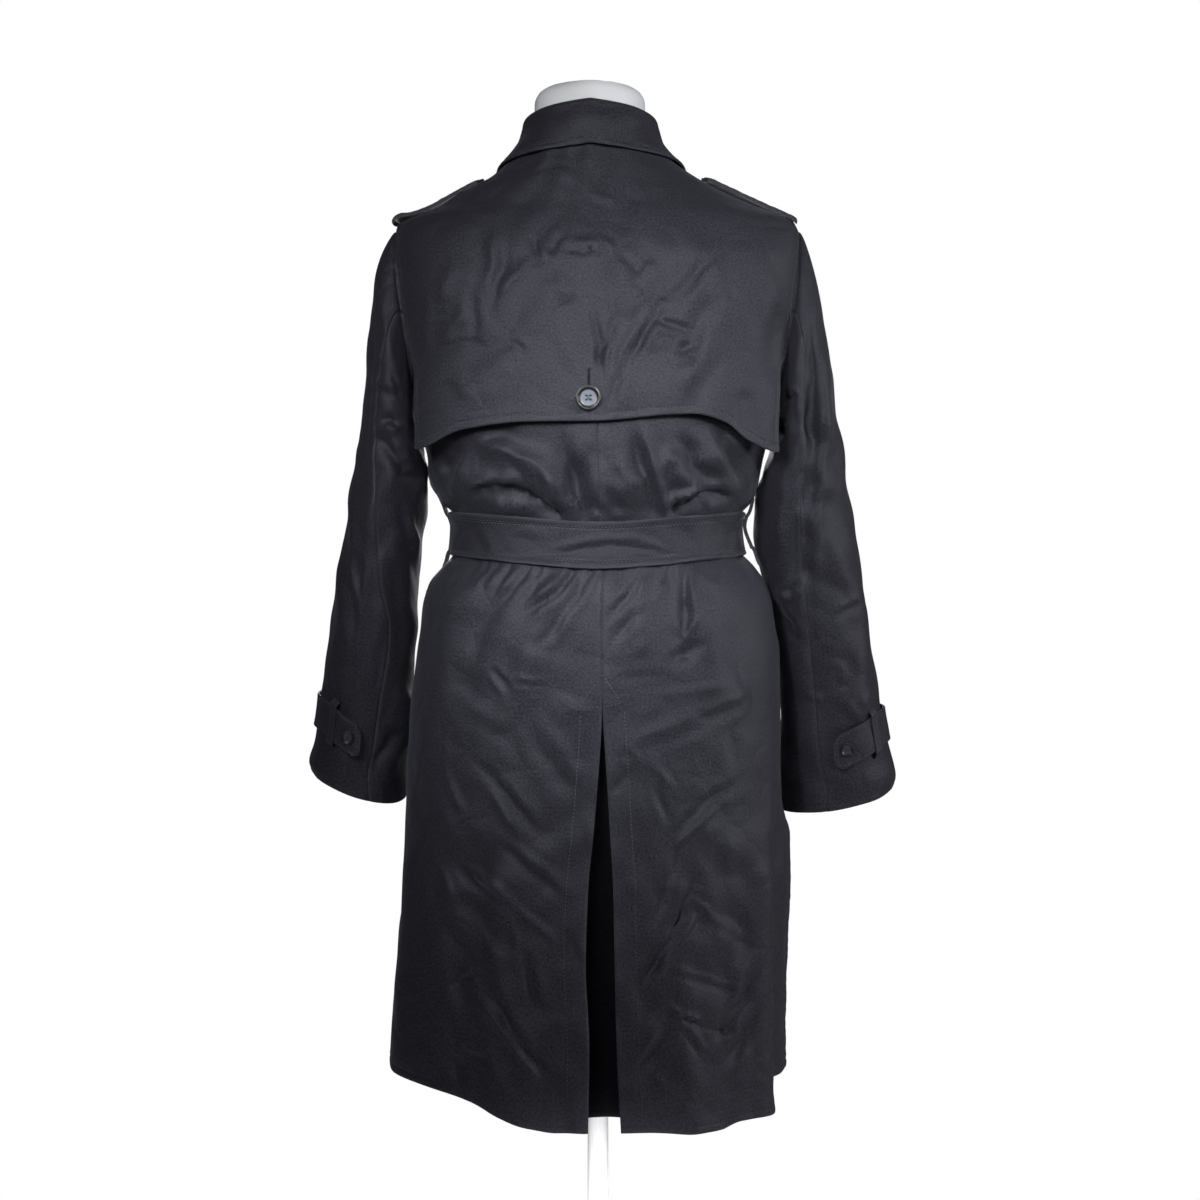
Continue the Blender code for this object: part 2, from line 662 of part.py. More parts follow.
def side_reach(y, height, side):
    """How far sideways the body's inner face lies at a depth and height beside the armhole."""
    section = BODY.at(height)
    wide = section.left if side > 0 else section.right
    deep = section.back if y >= 0 else section.front
    return wide * (1 - abs(y / deep) ** section.square) ** (1 / section.square)


def armhole_turn(height, side, facing):
    """Where a panel ends at a height: at the armhole, or at the side or shoulder seam."""
    rise = (height - ARMHOLE_MIDDLE) / ARMHOLE_HALF_HEIGHT
    if abs(rise) >= 1:
        return 90.0
    y = ARMHOLE_Y + facing * ARMHOLE_HALF_DEPTH * math.sqrt(1 - rise * rise)
    return math.degrees(math.atan2(side_reach(y, height, side), y))


def half_seam(height):
    """Half a seam's air as a turn."""
    section = BODY.at(height)
    return math.degrees(SEAM / 2 / min(section.left, section.right, section.back))


def sleeve_point(side, turn, along):
    """The outer face of a sleeve; turn 0 is outside, 90 behind, 180 beside the body."""
    ring = SLEEVES[side].at(along)
    angle = math.radians(turn)
    middle = Vector(
        ((ring.outer_x + ring.inner_x) / 2, ring.middle_y, (ring.outer_z + ring.inner_z) / 2)
    )
    reach = Vector(((ring.outer_x - ring.inner_x) / 2, 0, (ring.outer_z - ring.inner_z) / 2))
    depth = Vector((0, ring.half_depth, -ring.lean))
    spoke = reach * math.cos(angle) + depth * math.sin(angle)
    point = middle + spoke
    stand = 0.0
    for fold in SLEEVE_FOLDS[side]:
        stand += fold.depth * hump(
            math.radians(wrap(turn)) * SLEEVE_GIRTH,
            along * SLEEVE_LENGTH,
            math.radians(fold.turn_a) * SLEEVE_GIRTH,
            fold.along_a * SLEEVE_LENGTH,
            math.radians(fold.turn_b) * SLEEVE_GIRTH,
            fold.along_b * SLEEVE_LENGTH,
            fold.width,
        )
    point += spoke.normalized() * stand * ease((along - SLEEVE_PIPE) / SLEEVE_BLEND)
    if along < SLEEVE_PIPE + SLEEVE_BLEND:
        y = ARMHOLE_Y + (ARMHOLE_HALF_DEPTH - LAYER) * math.sin(angle)
        z = ARMHOLE_MIDDLE + (ARMHOLE_HALF_HEIGHT - LAYER) * math.cos(angle)
        push = SLEEVE_PUSH * min(along / SLEEVE_PIPE, 1.0) - SLEEVE_TUCK
        start = Vector((side_reach(y, z, side) + push, y, z))
        point = blend(start, point, ease((along - SLEEVE_PIPE) / SLEEVE_BLEND))
    point.x *= side
    return point


def sleeve_hand(side):
    return Hand(side, 2.0, 0.006)


# ---------------------------------------------------------------- body
BACK_HEIGHTS = (
    [HEM_BACK, 0.50, 0.55, 0.60, 0.65, 0.70, 0.74, 0.79, 0.84, 0.885, 0.925, 0.955, 0.98, 0.998]
    + [1.012, 1.028, 1.055, 1.070, 1.083, 1.100, 1.120, 1.150, 1.1893, 1.191, 1.200]
    + [1.222, 1.255, 1.300, 1.335, 1.357, 1.3655, 1.3668, 1.3755, 1.386, 1.397, 1.410]
    + [1.4215, NECK_HEIGHT]
)
FRONT_HEIGHTS = (
    [HEM_BACK, 0.52, 0.60, 0.68, 0.75, 0.82, 0.89, 0.945, 0.98, 0.998, 1.012, 1.028, 1.055, 1.070]
    + [1.083, 1.100, 1.140, 1.1893, 1.191, 1.199, 1.222, 1.255, 1.300, 1.342]
    + [1.357, 1.3655, 1.3668, 1.3755, 1.386, 1.397, 1.410, 1.4215, NECK_HEIGHT]
)


def rows_between(heights, low, high):
    """The rows of a piece that lies on another: its own ends, and the other's rows between."""
    return [low] + [height for height in heights if low + 0.003 < height < high - 0.001] + [high]


def make_back(side, name, cloth):
    def span(height):
        edge = CENTRE_BACK.at(height)
        x = edge.left if side > 0 else edge.right
        centre = math.degrees(math.atan2(x, BODY.at(height).back)) + side * half_seam(height)
        outer = side * (armhole_turn(height, side, 1) - half_seam(height))
        return centre, outer

    shares = steps(0, 1, 10)
    sheet(name, body_point, BACK_HEIGHTS, span, shares, 0.0, CLOTH, cloth)


def underlay_dip(turn, height):
    """How deep the pleat's inner strip lies: it dips between the two open edges."""
    open_share = ease((PLEAT_TOP - height) / 0.3)
    return 2 * LIE + UNDERLAY_DIP * open_share * math.exp(-((turn + 3) / 11.0) ** 2)


def make_underlay(cloth):
    underlay = sheet(
        "pleat_underlay",
        body_point,
        rows_between(BACK_HEIGHTS, HEM_BACK + UNDERLAY_HEM, PLEAT_TOP),
        lambda height: (-UNDERLAY_HALF_TURN, UNDERLAY_HALF_TURN),
        steps(0, 1, 10),
        lambda turn, height: -underlay_dip(turn, height) - CLOTH,
        lambda turn, height: -underlay_dip(turn, height),
        cloth,
    )
    settle(underlay, ("back_left", "back_right"), Vector((0, 1, 0)))


def roll_turn(height):
    """Turn from the centre back at which a front ends: past the centre, or at its lapel's roll."""
    full = 180.0 + OVERLAP_TURN
    share = (height - BREAK_HEIGHT) / (NECK_HEIGHT - BREAK_HEIGHT)
    return blend(full, ROLL_TOP_TURN, min(max(share, 0.0), 1.0))


def upper_stand(turn, height):
    """How far the right front lies off the body where the left front is under it."""
    past_own_side = 180.0 - abs(turn)
    return ON_PLY * (1 - ease((past_own_side - OVERLAP_TURN - 2.0) / OVERLAP_STEP))


def make_front(side, name, stand, cloth):
    def span(height):
        seam = side * (armhole_turn(height, side, -1) + half_seam(height))
        return seam, side * roll_turn(height)

    def inside(turn, height):
        return stand(turn, height)

    def outside(turn, height):
        return stand(turn, height) + CLOTH

    sheet(name, body_point, FRONT_HEIGHTS, span, steps(0, 1, 10), inside, outside, cloth)


def lapel_width(height):
    """Width of a lapel at a height, as a turn."""
    if height < LAPEL_POINT_HEIGHT:
        share = (height - BREAK_HEIGHT) / (LAPEL_POINT_HEIGHT - BREAK_HEIGHT)
    else:
        share = 1 - 0.8 * (height - LAPEL_POINT_HEIGHT) / (LAPEL_TOP_HEIGHT - LAPEL_POINT_HEIGHT)
    return math.degrees(LAPEL_WIDTH * share / LAPEL_ARM)


def make_lapels(cloth):
    def right_span(height):
        return -roll_turn(height), -(roll_turn(height) - lapel_width(height))

    def left_span(height):
        under_right = 360.0 - roll_turn(height) - 1.0
        return min(roll_turn(height), under_right), roll_turn(height) - lapel_width(height)

    def on_right(turn, height):
        return upper_stand(turn, height) + LAPEL_STAND

    sheet(
        "lapel_right", body_point, rows_between(FRONT_HEIGHTS, 1.212, LAPEL_TOP_HEIGHT),
        right_span, steps(0, 1, 6),
        on_right, lambda turn, height: on_right(turn, height) + CLOTH, cloth,
    )
    sheet(
        "lapel_left", body_point, rows_between(FRONT_HEIGHTS, 1.262, LAPEL_TOP_HEIGHT),
        left_span, steps(0, 1, 6), LAPEL_STAND, LAPEL_STAND + CLOTH, cloth,
    )


def make_storm_flap(cloth):
    def edge(height, side):
        sewn = armhole_turn(height, side, 1) - half_seam(height)
        return sewn if height >= FLAP_JOIN else FLAP_EDGE.at(height).turn

    def height_of(level, turn):
        """Level 0 is the free hem and level 1 is FLAP_LEVEL, above which it counts in metres."""
        if level < 1.0:
            return blend(FLAP_HEM.at(turn).height, FLAP_LEVEL, level)
        return FLAP_LEVEL + level - 1.0

    def surface(turn, level):
        return flap_point(turn, height_of(level, turn))

    def span(level):
        height = height_of(level, 66.0)
        return -edge(height, -1), edge(height, 1)

    rows = [0, 0.07, 0.18, 0.32, 0.47, 0.62, 0.76, 0.88, 1.0]
    rows += [1.0 + height - FLAP_LEVEL for height in BACK_HEIGHTS[1:-1] if height > FLAP_LEVEL]
    rows.append(1.0 + FLAP_TOP - FLAP_LEVEL)
    sheet("storm_flap", surface, rows, span, steps(0, 1, 20), 0.0, CLOTH, cloth)


# ---------------------------------------------------------------- collar
def collar_spoke(turn, out, height):
    angle = math.radians(turn)
    return Vector((COLLAR_SHIFT + out * math.sin(angle), out * math.cos(angle), height))


def stand_point(turn, share):
    """The collar's stand, from just inside the neck seam up to the fold."""
    seam = body_point(turn, NECK_HEIGHT)
    angle = math.radians(turn)
    inward = Vector((math.sin(angle), math.cos(angle), 0)) * (CLOTH + 2 * SEAM)
    fold = COLLAR_FOLD.at(abs(turn))
    top = collar_spoke(turn, fold.out - CLOTH, fold.height - LAYER)
    return blend(seam - inward, top, share)


def fall_point(turn, share):
    """The collar's fall: over the top of the stand, then down and out to its free edge."""
    fold = COLLAR_FOLD.at(abs(turn))
    edge = COLLAR_EDGE.at(abs(turn))
    low = body_point(turn, edge.height)
    low += outward(body_point, turn, edge.height, ROUND_BODY) * edge.off
    top = collar_spoke(turn, fold.out - 0.0008, fold.height - 0.0004)
    shoulder = collar_spoke(turn, fold.out + 0.0020, fold.height - 0.0045)
    if share < FALL_ROLL:
        part = share / FALL_ROLL
        bend = collar_spoke(turn, fold.out + 0.0017, fold.height - 0.0006)
        return blend(blend(top, bend, part), blend(bend, shoulder, part), part)
    part = (share - FALL_ROLL) / (1 - FALL_ROLL)
    spoke = Vector((math.sin(math.radians(turn)), math.cos(math.radians(turn)), 0.2))
    bulge = blend(FALL_BULGE_BACK, FALL_BULGE_SIDE, math.sin(math.radians(turn)) ** 2)
    return blend(shoulder, low, part) + spoke * bulge * math.sin(math.pi * part)


FALL_ROLL = 0.12
FALL_BULGE_BACK = 0.0022
FALL_BULGE_SIDE = -0.0060  # the sides of the fall are hollow
COLLAR_HAND = Hand(-1, 0.4, 0.01)


def make_collar(cloth):
    turns = steps(0, 1, 22)
    sheet(
        "collar_stand", stand_point, [0.0, 0.5, 1.0],
        lambda share: (-COLLAR_TURN, COLLAR_TURN), turns, 0.0, CLOTH, cloth, Hand(1, 0.4, 0.01),
    )
    sheet(
        "collar_fall", fall_point, [0.0, 0.06, FALL_ROLL, 0.42, 0.72, 1.0],
        lambda share: (-COLLAR_TURN, COLLAR_TURN), turns, 0.0, CLOTH, cloth, COLLAR_HAND,
    )


# ---------------------------------------------------------------- sleeves
SLEEVE_ROWS = [0.0, 0.03, 0.075, 0.105, 0.14, 0.185, 0.25, 0.33, 0.40, 0.47, 0.54, 0.60, 0.67]
SLEEVE_ROWS += [0.75, 0.84, 0.90, 0.955, 1.0]
SLEEVE_SEAM_TURN = 0.16


def make_sleeve(side, word, cloth):
    def surface(turn, along):
        return sleeve_point(side, turn, along)

    def upper_span(along):
        seam = SLEEVES[side].at(along).seam
        return FRONT_SEAM + SLEEVE_SEAM_TURN, seam - SLEEVE_SEAM_TURN

    def under_span(along):
        seam = SLEEVES[side].at(along).seam
        return seam + SLEEVE_SEAM_TURN, 360.0 + FRONT_SEAM - SLEEVE_SEAM_TURN

    hand = sleeve_hand(side)
    name = "sleeve_upper_" + word
    sheet(name, surface, SLEEVE_ROWS, upper_span, steps(0, 1, 10), -CLOTH, 0.0, cloth, hand)
    name = "sleeve_under_" + word
    sheet(name, surface, SLEEVE_ROWS, under_span, steps(0, 1, 7), -CLOTH, 0.0, cloth, hand)


# Middle of each cuff strap along its sleeve, turns of its bend, loop and tip, and how far the
# tip droops along the sleeve and stands off it.
CUFF_STRAPS = {
    1: {"middle": 0.853, "bend": 38.0, "loop": 58.0, "tip": 94.0, "droop": 0.034, "lift": 0.0090},
    -1: {"middle": 0.868, "bend": 30.0, "loop": 46.0, "tip": 96.0, "droop": 0.026, "lift": 0.0030},
}


def past_bend(place, turn):
    """0 where a cuff strap starts to droop, 1 at its tip."""
    return max(0.0, (turn - place["bend"]) / (place["tip"] - place["bend"]))


def make_cuff(side, word, cloth, shiny):
    place = CUFF_STRAPS[side]
    low = place["middle"] - CUFF_STRAP_HALF
    high = place["middle"] + CUFF_STRAP_HALF
    hand = sleeve_hand(side)

    def surface(turn, along):
        return sleeve_point(side, turn, along)

    def drooping(turn, along):
        return surface(turn, along + place["droop"] * past_bend(place, turn) ** 1.3)

    def span(along):
        from_middle = abs(along - place["middle"]) / CUFF_STRAP_HALF
        return FRONT_SEAM + 4.0, place["tip"] - 7.0 * from_middle**4

    def strap_inside(turn, along):
        return LIE + place["lift"] * past_bend(place, turn) ** 2

    def strap_outside(turn, along):
        return strap_inside(turn, along) + CUFF_STRAP_THICK

    rows = [low, blend(low, high, 0.12), place["middle"], blend(low, high, 0.88), high]
    sheet(
        "cuff_strap_" + word, drooping, rows, span, steps(0, 1, 14),
        strap_inside, strap_outside, cloth, hand,
    )

    def loop_inside(turn, along):
        beyond = abs(along - place["middle"]) - CUFF_STRAP_HALF
        return blend(strap_outside(turn, along) + LIE, LIE, ease((beyond - 0.004) / 0.010))

    rows = steps(place["middle"] - 0.042, place["middle"] + 0.042, 8)
    loop = sheet(
        "cuff_loop_" + word, drooping, rows,
        lambda along: (place["loop"] - 4.5, place["loop"] + 4.5), steps(0, 1, 2),
        loop_inside, lambda turn, along: loop_inside(turn, along) + 0.0015, cloth, hand,
    )
    inward = -outward(drooping, place["loop"], place["middle"], hand)
    settle(loop, ("sleeve_upper_" + word, "cuff_strap_" + word), inward)
    turn = place["tip"] - 13.0
    away = outward(drooping, turn, place["middle"], hand)
    foot = drooping(turn, place["middle"]) + away * (strap_outside(turn, 0) + LIE + SEAM)
    name = "cuff_button_" + word
    make_button(name, foot, away, 0.0070, SMALL_BUTTON_THICK, ("cuff_strap_" + word,), shiny)


# ---------------------------------------------------------------- belt and its parts
def belt_stand(turn, height):
    """The belt lies on one ply at the back and on two where the fronts overlap."""
    return ON_PLY * (2 - ease((180.0 - abs(wrap(turn)) - OVERLAP_TURN - 2.0) / OVERLAP_STEP))


def belt_point(turn, up):
    """The body's surface beside the belt; up is measured from the belt's middle."""
    rise = BELT_RISE * ease(abs(wrap(turn)) / 85.0)
    return body_point(turn, BELT_MIDDLE + rise + up)


def make_belt(cloth, leather):
    half = BELT_WIDTH / 2
    rows = [-half, 0.0, half]
    sheet(
        "belt", belt_point, rows, lambda up: (-174.0, 174.0), steps(0, 1, 44),
        belt_stand, lambda turn, up: belt_stand(turn, up) + BELT_THICK, cloth,
    )
    on_belt = 2 * ON_PLY + BELT_THICK

    def end_span(up):
        return 168.0 - 2.0, 118.0 + 5.0 * (abs(up) / half) ** 2

    def end_inside(turn, up):
        return belt_stand(turn, up) + BELT_THICK + LIE

    sheet(
        "belt_end", belt_point, rows, end_span, steps(0, 1, 8),
        end_inside, lambda turn, up: end_inside(turn, up) + 0.0025, cloth,
    )
    buckle_back = belt_point(180.0, 0.0)
    buckle_back.y = belt_point(180.0, half).y - on_belt - LIE
    make_buckle(buckle_back, leather)


BUCKLE_WIDTH = 0.044
BUCKLE_HEIGHT = 0.064
BUCKLE_BAR = 0.0075
BUCKLE_THICK = 0.0045


def rounded_outline(width, height, radius, corner_steps):
    """Points of a rounded rectangle, counted round from the right side."""
    points = []
    for quarter in range(4):
        sign_x = 1 if quarter in (0, 3) else -1
        sign_z = 1 if quarter in (0, 1) else -1
        for index in range(corner_steps + 1):
            angle = math.radians(90 * quarter + 90 * index / corner_steps)
            x = sign_x * (width / 2 - radius) + radius * math.cos(angle)
            z = sign_z * (height / 2 - radius) + radius * math.sin(angle)
            points.append((x, z))
    return points


def make_buckle(back, leather):
    outer = rounded_outline(BUCKLE_WIDTH, BUCKLE_HEIGHT, 0.008, 4)
    inner = rounded_outline(
        BUCKLE_WIDTH - 2 * BUCKLE_BAR, BUCKLE_HEIGHT - 2 * BUCKLE_BAR, 0.004, 4
    )
    builder = bmesh.new()
    loops = []
    for outline, depth in ((outer, 0), (outer, BUCKLE_THICK), (inner, BUCKLE_THICK), (inner, 0)):
        loops.append([builder.verts.new(back + Vector((x, -depth, z))) for x, z in outline])
    count = len(outer)
    for index in range(4):
        first = loops[index]
        second = loops[(index + 1) % 4]
        for j in range(count):
            k = (j + 1) % count
            builder.faces.new((first[j], first[k], second[k], second[j]))
    buckle = add_object("buckle", builder, leather)
    length = BUCKLE_WIDTH - 2 * BUCKLE_BAR - 2 * SEAM
    radius = 0.0016
    foot = back + Vector((-length / 2, -radius, 0))
    profile = [(radius, 0), (radius, length)]
    prong = turned("buckle_prong", profile, foot, Vector((1, 0, 0)), 10, leather)
    settle(buckle, ("belt", "belt_end"), Vector((0, 1, 0)), riders=(prong,))


BELT_LOOPS = {1: {"turn": 98.0, "slack": 0.0}, -1: {"turn": 82.0, "slack": 0.006}}


def make_belt_loop(side, word, cloth):
    place = BELT_LOOPS[side]
    half = BELT_WIDTH / 2
    over_belt = ON_PLY + BELT_THICK + 2 * LIE

    def inside(turn, up):
        lying = blend(over_belt, ON_PLY, ease((abs(up) - half - 0.002) / 0.010))
        slack = place["slack"] * ease((0.010 - up) / 0.035)
        return lying + slack

    turn = side * place["turn"]
    loop = sheet(
        "belt_loop_" + word, belt_point, steps(-half - 0.014, half + 0.014, 10),
        lambda up: (turn - 1.6, turn + 1.6), steps(0, 1, 2),
        inside, lambda turn, up: inside(turn, up) + 0.0016, cloth,
    )
    settle(loop, ("back_" + word, "front_" + word, "belt"), Vector((-side, 0, 0)))


# ---------------------------------------------------------------- shoulders and buttons
def make_epaulette(side, word, cloth, shiny):
    def surface(share_across, along):
        path = EPAULETTES[side].at(along)
        y = share_across * EPAULETTE_HALF_WIDTH
        return Vector((side * path.x, y, path.height - EPAULETTE_DROP * share_across**2))

    def span(along):
        blunt = 1.0 - 0.35 * ease((0.10 - along) / 0.10) ** 2
        return -blunt, blunt

    hand = Hand(side, 0.1, 0.01)
    rows = [0.0, 0.05, 0.11, 0.30, 0.48, 0.66, 0.80, 0.88, 0.92, 0.95, 0.97, 1.0]
    name = "epaulette_" + word
    strap = sheet(name, surface, rows, span, steps(0, 1, 4), 0.0, CLOTH, cloth, hand)
    settle(strap, ("storm_flap", "front_" + word), Vector((0, 0, -1)))
    away = outward(surface, 0.0, 0.13, hand)
    foot = surface(0.0, 0.13) + away * (CLOTH + SEAM)
    name = "epaulette_button_" + word
    make_button(name, foot, away, 0.0070, SMALL_BUTTON_THICK, ("epaulette_" + word,), shiny)


def make_button(name, foot, axis, radius, thick, carriers, shiny):
    """A button with a raised rim and a dished middle, sewn on its carriers."""
    profile = [
        (radius, 0.0),
        (radius, thick * 0.70),
        (radius * 0.88, thick),
        (radius * 0.74, thick),
        (radius * 0.66, thick * 0.70),
    ]
    button = turned(name, profile, foot, axis, 12, shiny)
    settle(button, carriers, -axis)
    return button


FRONT_BUTTON_TURNS = (154.0, -154.0)
FRONT_BUTTON_HEIGHTS = (0.790, 0.910, 1.128, 1.190)
FLAP_BUTTON_TURN = 4.2
FLAP_BUTTON_HEIGHT = 1.1835


def make_buttons(shiny):
    away = outward(flap_point, FLAP_BUTTON_TURN, FLAP_BUTTON_HEIGHT, ROUND_BODY)
    foot = flap_point(FLAP_BUTTON_TURN, FLAP_BUTTON_HEIGHT) + away * (CLOTH + LIE / 2)
    make_button("flap_button", foot, away, 0.0125, BUTTON_THICK, ("storm_flap",), shiny)
    for column, turn in enumerate(FRONT_BUTTON_TURNS):
        for row, height in enumerate(FRONT_BUTTON_HEIGHTS):
            away = outward(body_point, turn, height, ROUND_BODY)
            stand = ON_PLY + CLOTH + LIE / 2
            foot = body_point(turn, height) + away * stand
            name = "front_button_" + "lr"[column] + str(row + 1)
            make_button(name, foot, away, 0.0125, BUTTON_THICK, ("front_right",), shiny)


# ---------------------------------------------------------------- dress form and stand
def form_point(turn, height):
    """The form: its own sections, and just under the cloth where it carries the shoulders."""
    own = section_point(FORM.at(height), turn, height)
    touch = ease((height - FORM_TOUCH_LOW) / 0.008) * ease((FORM_TOUCH_HIGH - height) / 0.008 + 1)
    if touch == 0:
        return own
    under = body_point(turn, height) - outward(body_point, turn, height, ROUND_BODY) * FORM_AIR
    return blend(own, under, touch)


def make_form(cover, lacquer):
    heights = [FORM_BOTTOM, 0.815, 0.870, 0.930, 0.985, 1.045, 1.110, 1.190, 1.270, 1.330, 1.358]
    heights += [1.370, 1.378, 1.387, 1.397, 1.406, 1.4145, 1.4225, 1.435, 1.460, 1.498, 1.505]
    heights += [1.511, 1.517, 1.5205]
    rings = []
    for height in heights:
        shrink = 0.93 if height == FORM_BOTTOM else 1.0
        ring = []
        for index in range(24):
            point = form_point(wrap(360.0 * index / 24), height)
            ring.append(Vector((point.x * shrink, point.y * shrink, point.z)))
        rings.append(ring)
    loft("dress_form", rings, cover)
    up = Vector((0, 0, 1))
    pole_foot = BASE_THICK + SEAM
    pole = [(POLE_RADIUS, 0.0), (POLE_RADIUS, FORM_BOTTOM - SEAM - pole_foot)]
    turned("stand_pole", pole, Vector((0, 0, pole_foot)), up, 20, lacquer)
    base = [
        (BASE_RADIUS, 0.0),
        (BASE_RADIUS, BASE_THICK - 0.004),
        (BASE_RADIUS - 0.004, BASE_THICK),
    ]
    turned("stand_base", base, Vector((0, 0, 0)), up, 36, lacquer)


# ---------------------------------------------------------------- the whole coat
def main():
    for leftover in list(bpy.data.objects):
        bpy.data.objects.remove(leftover, do_unlink=True)
    finishes = make_finishes()
    cloth = finishes["gabardine"]
    shiny = finishes["button"]
    make_form(finishes["form_cover"], finishes["lacquer"])
    make_back(1, "back_left", cloth)
    make_back(-1, "back_right", cloth)
    make_underlay(cloth)
    make_front(1, "front_left", lambda turn, height: 0.0, cloth)
    make_front(-1, "front_right", upper_stand, cloth)
    make_lapels(cloth)
    make_storm_flap(cloth)
    make_collar(cloth)
    make_belt(cloth, finishes["leather"])
    for side, word in ((1, "left"), (-1, "right")):
        make_sleeve(side, word, cloth)
        make_cuff(side, word, cloth, shiny)
        make_belt_loop(side, word, cloth)
        make_epaulette(side, word, cloth, shiny)
    make_buttons(shiny)
    for material in finishes.values():
        bpy.data.materials.remove(material)


main()
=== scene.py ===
"""The belted trench coat on its dress form, dressed: gabardine shells with folds, creases and
stitching, moulded buttons, a covered buckle, a jersey-covered form and a lacquered stand."""

import math
from collections import namedtuple

import bpy
import numpy as np
from mathutils import Matrix, Vector


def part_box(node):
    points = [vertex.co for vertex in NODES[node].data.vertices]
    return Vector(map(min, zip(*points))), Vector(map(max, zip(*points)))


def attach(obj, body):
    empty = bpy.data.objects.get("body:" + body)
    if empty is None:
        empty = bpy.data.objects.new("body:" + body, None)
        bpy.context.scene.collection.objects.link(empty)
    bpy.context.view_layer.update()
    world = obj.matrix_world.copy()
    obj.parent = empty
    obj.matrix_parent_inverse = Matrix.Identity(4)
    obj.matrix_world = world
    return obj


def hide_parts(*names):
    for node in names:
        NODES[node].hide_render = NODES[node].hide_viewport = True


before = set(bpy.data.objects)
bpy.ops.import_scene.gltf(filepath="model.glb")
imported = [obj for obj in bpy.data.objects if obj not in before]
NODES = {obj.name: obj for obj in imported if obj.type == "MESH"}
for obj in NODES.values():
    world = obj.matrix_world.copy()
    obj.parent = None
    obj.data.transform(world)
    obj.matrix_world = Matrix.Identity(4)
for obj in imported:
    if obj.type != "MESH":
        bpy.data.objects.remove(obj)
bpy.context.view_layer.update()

BODY_NAME = "root"

# ---------------------------------------------------------------- sizes, in metres
CLOTH = 0.002  # one ply
SEAM = 0.0003  # air between two pieces that are sewn together
SEWN_GAP = 0.00004  # what shows of it where the edges are pressed together
LIE = 0.0015  # air under a loose piece
ON_PLY = CLOTH + LIE
LAYER = CLOTH + SEAM
SIDES = ((1, "left"), (-1, "right"))
GIRTH = 0.16  # radius that turns an angle round the body into a length


class Curve:
    """A table of named numbers, read for whole arrays on a smooth curve without overshoot."""

    def __init__(self, columns, rows):
        self.row = namedtuple("Row", columns)
        table = np.array(rows, float)
        self.keys = table[:, 0]
        self.values = table[:, 1:]
        steps = np.diff(self.values, axis=0) / np.diff(self.keys)[:, None]
        before, after = steps[:-1], steps[1:]
        with np.errstate(divide="ignore", invalid="ignore"):
            inner = np.where(before * after > 0, 2 * before * after / (before + after), 0.0)
        self.slopes = np.concatenate([steps[:1], inner, steps[-1:]])

    def at(self, key):
        key = np.clip(np.asarray(key, float), self.keys[0], self.keys[-1])
        index = np.clip(np.searchsorted(self.keys, key, side="right") - 1, 0, len(self.keys) - 2)
        width = (self.keys[index + 1] - self.keys[index])[..., None]
        t = (key - self.keys[index])[..., None] / width
        value = (
            (1 + 2 * t) * (1 - t) ** 2 * self.values[index]
            + t * t * (3 - 2 * t) * self.values[index + 1]
            + t * (1 - t) ** 2 * width * self.slopes[index]
            + t * t * (t - 1) * width * self.slopes[index + 1]
        )
        return self.row(key, *np.moveaxis(value, -1, 0))


HEM_BACK = 0.457
HEM_FADE = 0.35  # height over which the uneven hem evens out
NECK_HEIGHT = 1.432

ARMHOLE_MIDDLE = 1.278
ARMHOLE_HALF_HEIGHT = 0.0885
ARMHOLE_HALF_DEPTH = 0.047
ARMHOLE_Y = -0.001
SLEEVE_TUCK = 0.001  # the sleeve starts this far inside the body's wall
SLEEVE_PIPE = 0.03  # share of the sleeve that leaves the armhole straight
SLEEVE_PUSH = 0.008  # how far that share reaches sideways
SLEEVE_BLEND = 0.10

BELT_WIDTH = 0.050
BELT_THICK = 0.003
BELT_MIDDLE = 1.0360
BELT_RISE = 0.0120  # the belt lies this much higher at the sides and front

OVERLAP_TURN = 31.0  # how far each front passes the centre front
OVERLAP_STEP = 15.0  # turn in which the upper front comes down to the lower ply
BREAK_HEIGHT = 1.199  # where the lapels start to turn back
ROLL_TOP_TURN = 108.0
LAPEL_POINT_HEIGHT = 1.342
LAPEL_TOP_HEIGHT = 1.386
LAPEL_WIDTH = 0.082
LAPEL_ARM = 0.175  # distance of the lapels from the body's middle line
LAPEL_STAND = ON_PLY + 0.0014  # a lapel is turned back softly, not pressed flat

PLEAT_TOP = 0.930
UNDERLAY_HALF_TURN = 32.0
UNDERLAY_DIP = 0.020
UNDERLAY_HEM = 0.012
UNDERLAY_OPENS = 0.3  # length in which the pleat opens
UNDERLAY_FOLD = (-3, 11.0)  # middle and width of its hollow, in turns
UNDERLAY_SEAT = 0.0009

FLAP_JOIN = 1.262  # above this height the storm flap lies on the back, below it hangs free
FLAP_FREE = 0.075
FLAP_LEVEL = 1.300  # below this height the flap's rows follow its hem
FLAP_TOP = 1.430
FLAP_FIRM = 1.2  # above this height the flap's own folds only stand out
FLAP_HEM_MEAN = 1.150
FLAP_HEM_TURN = 66.0  # where the hem hangs lowest

CUFF_STRAP_HALF = 0.029  # in shares of the sleeve's length
CUFF_STRAP_THICK = 0.0020
BUTTON_THICK = 0.0034
SMALL_BUTTON_THICK = 0.0024
EPAULETTE_HALF_WIDTH = 0.022
EPAULETTE_DROP = 0.0018

FORM_BOTTOM = 0.800


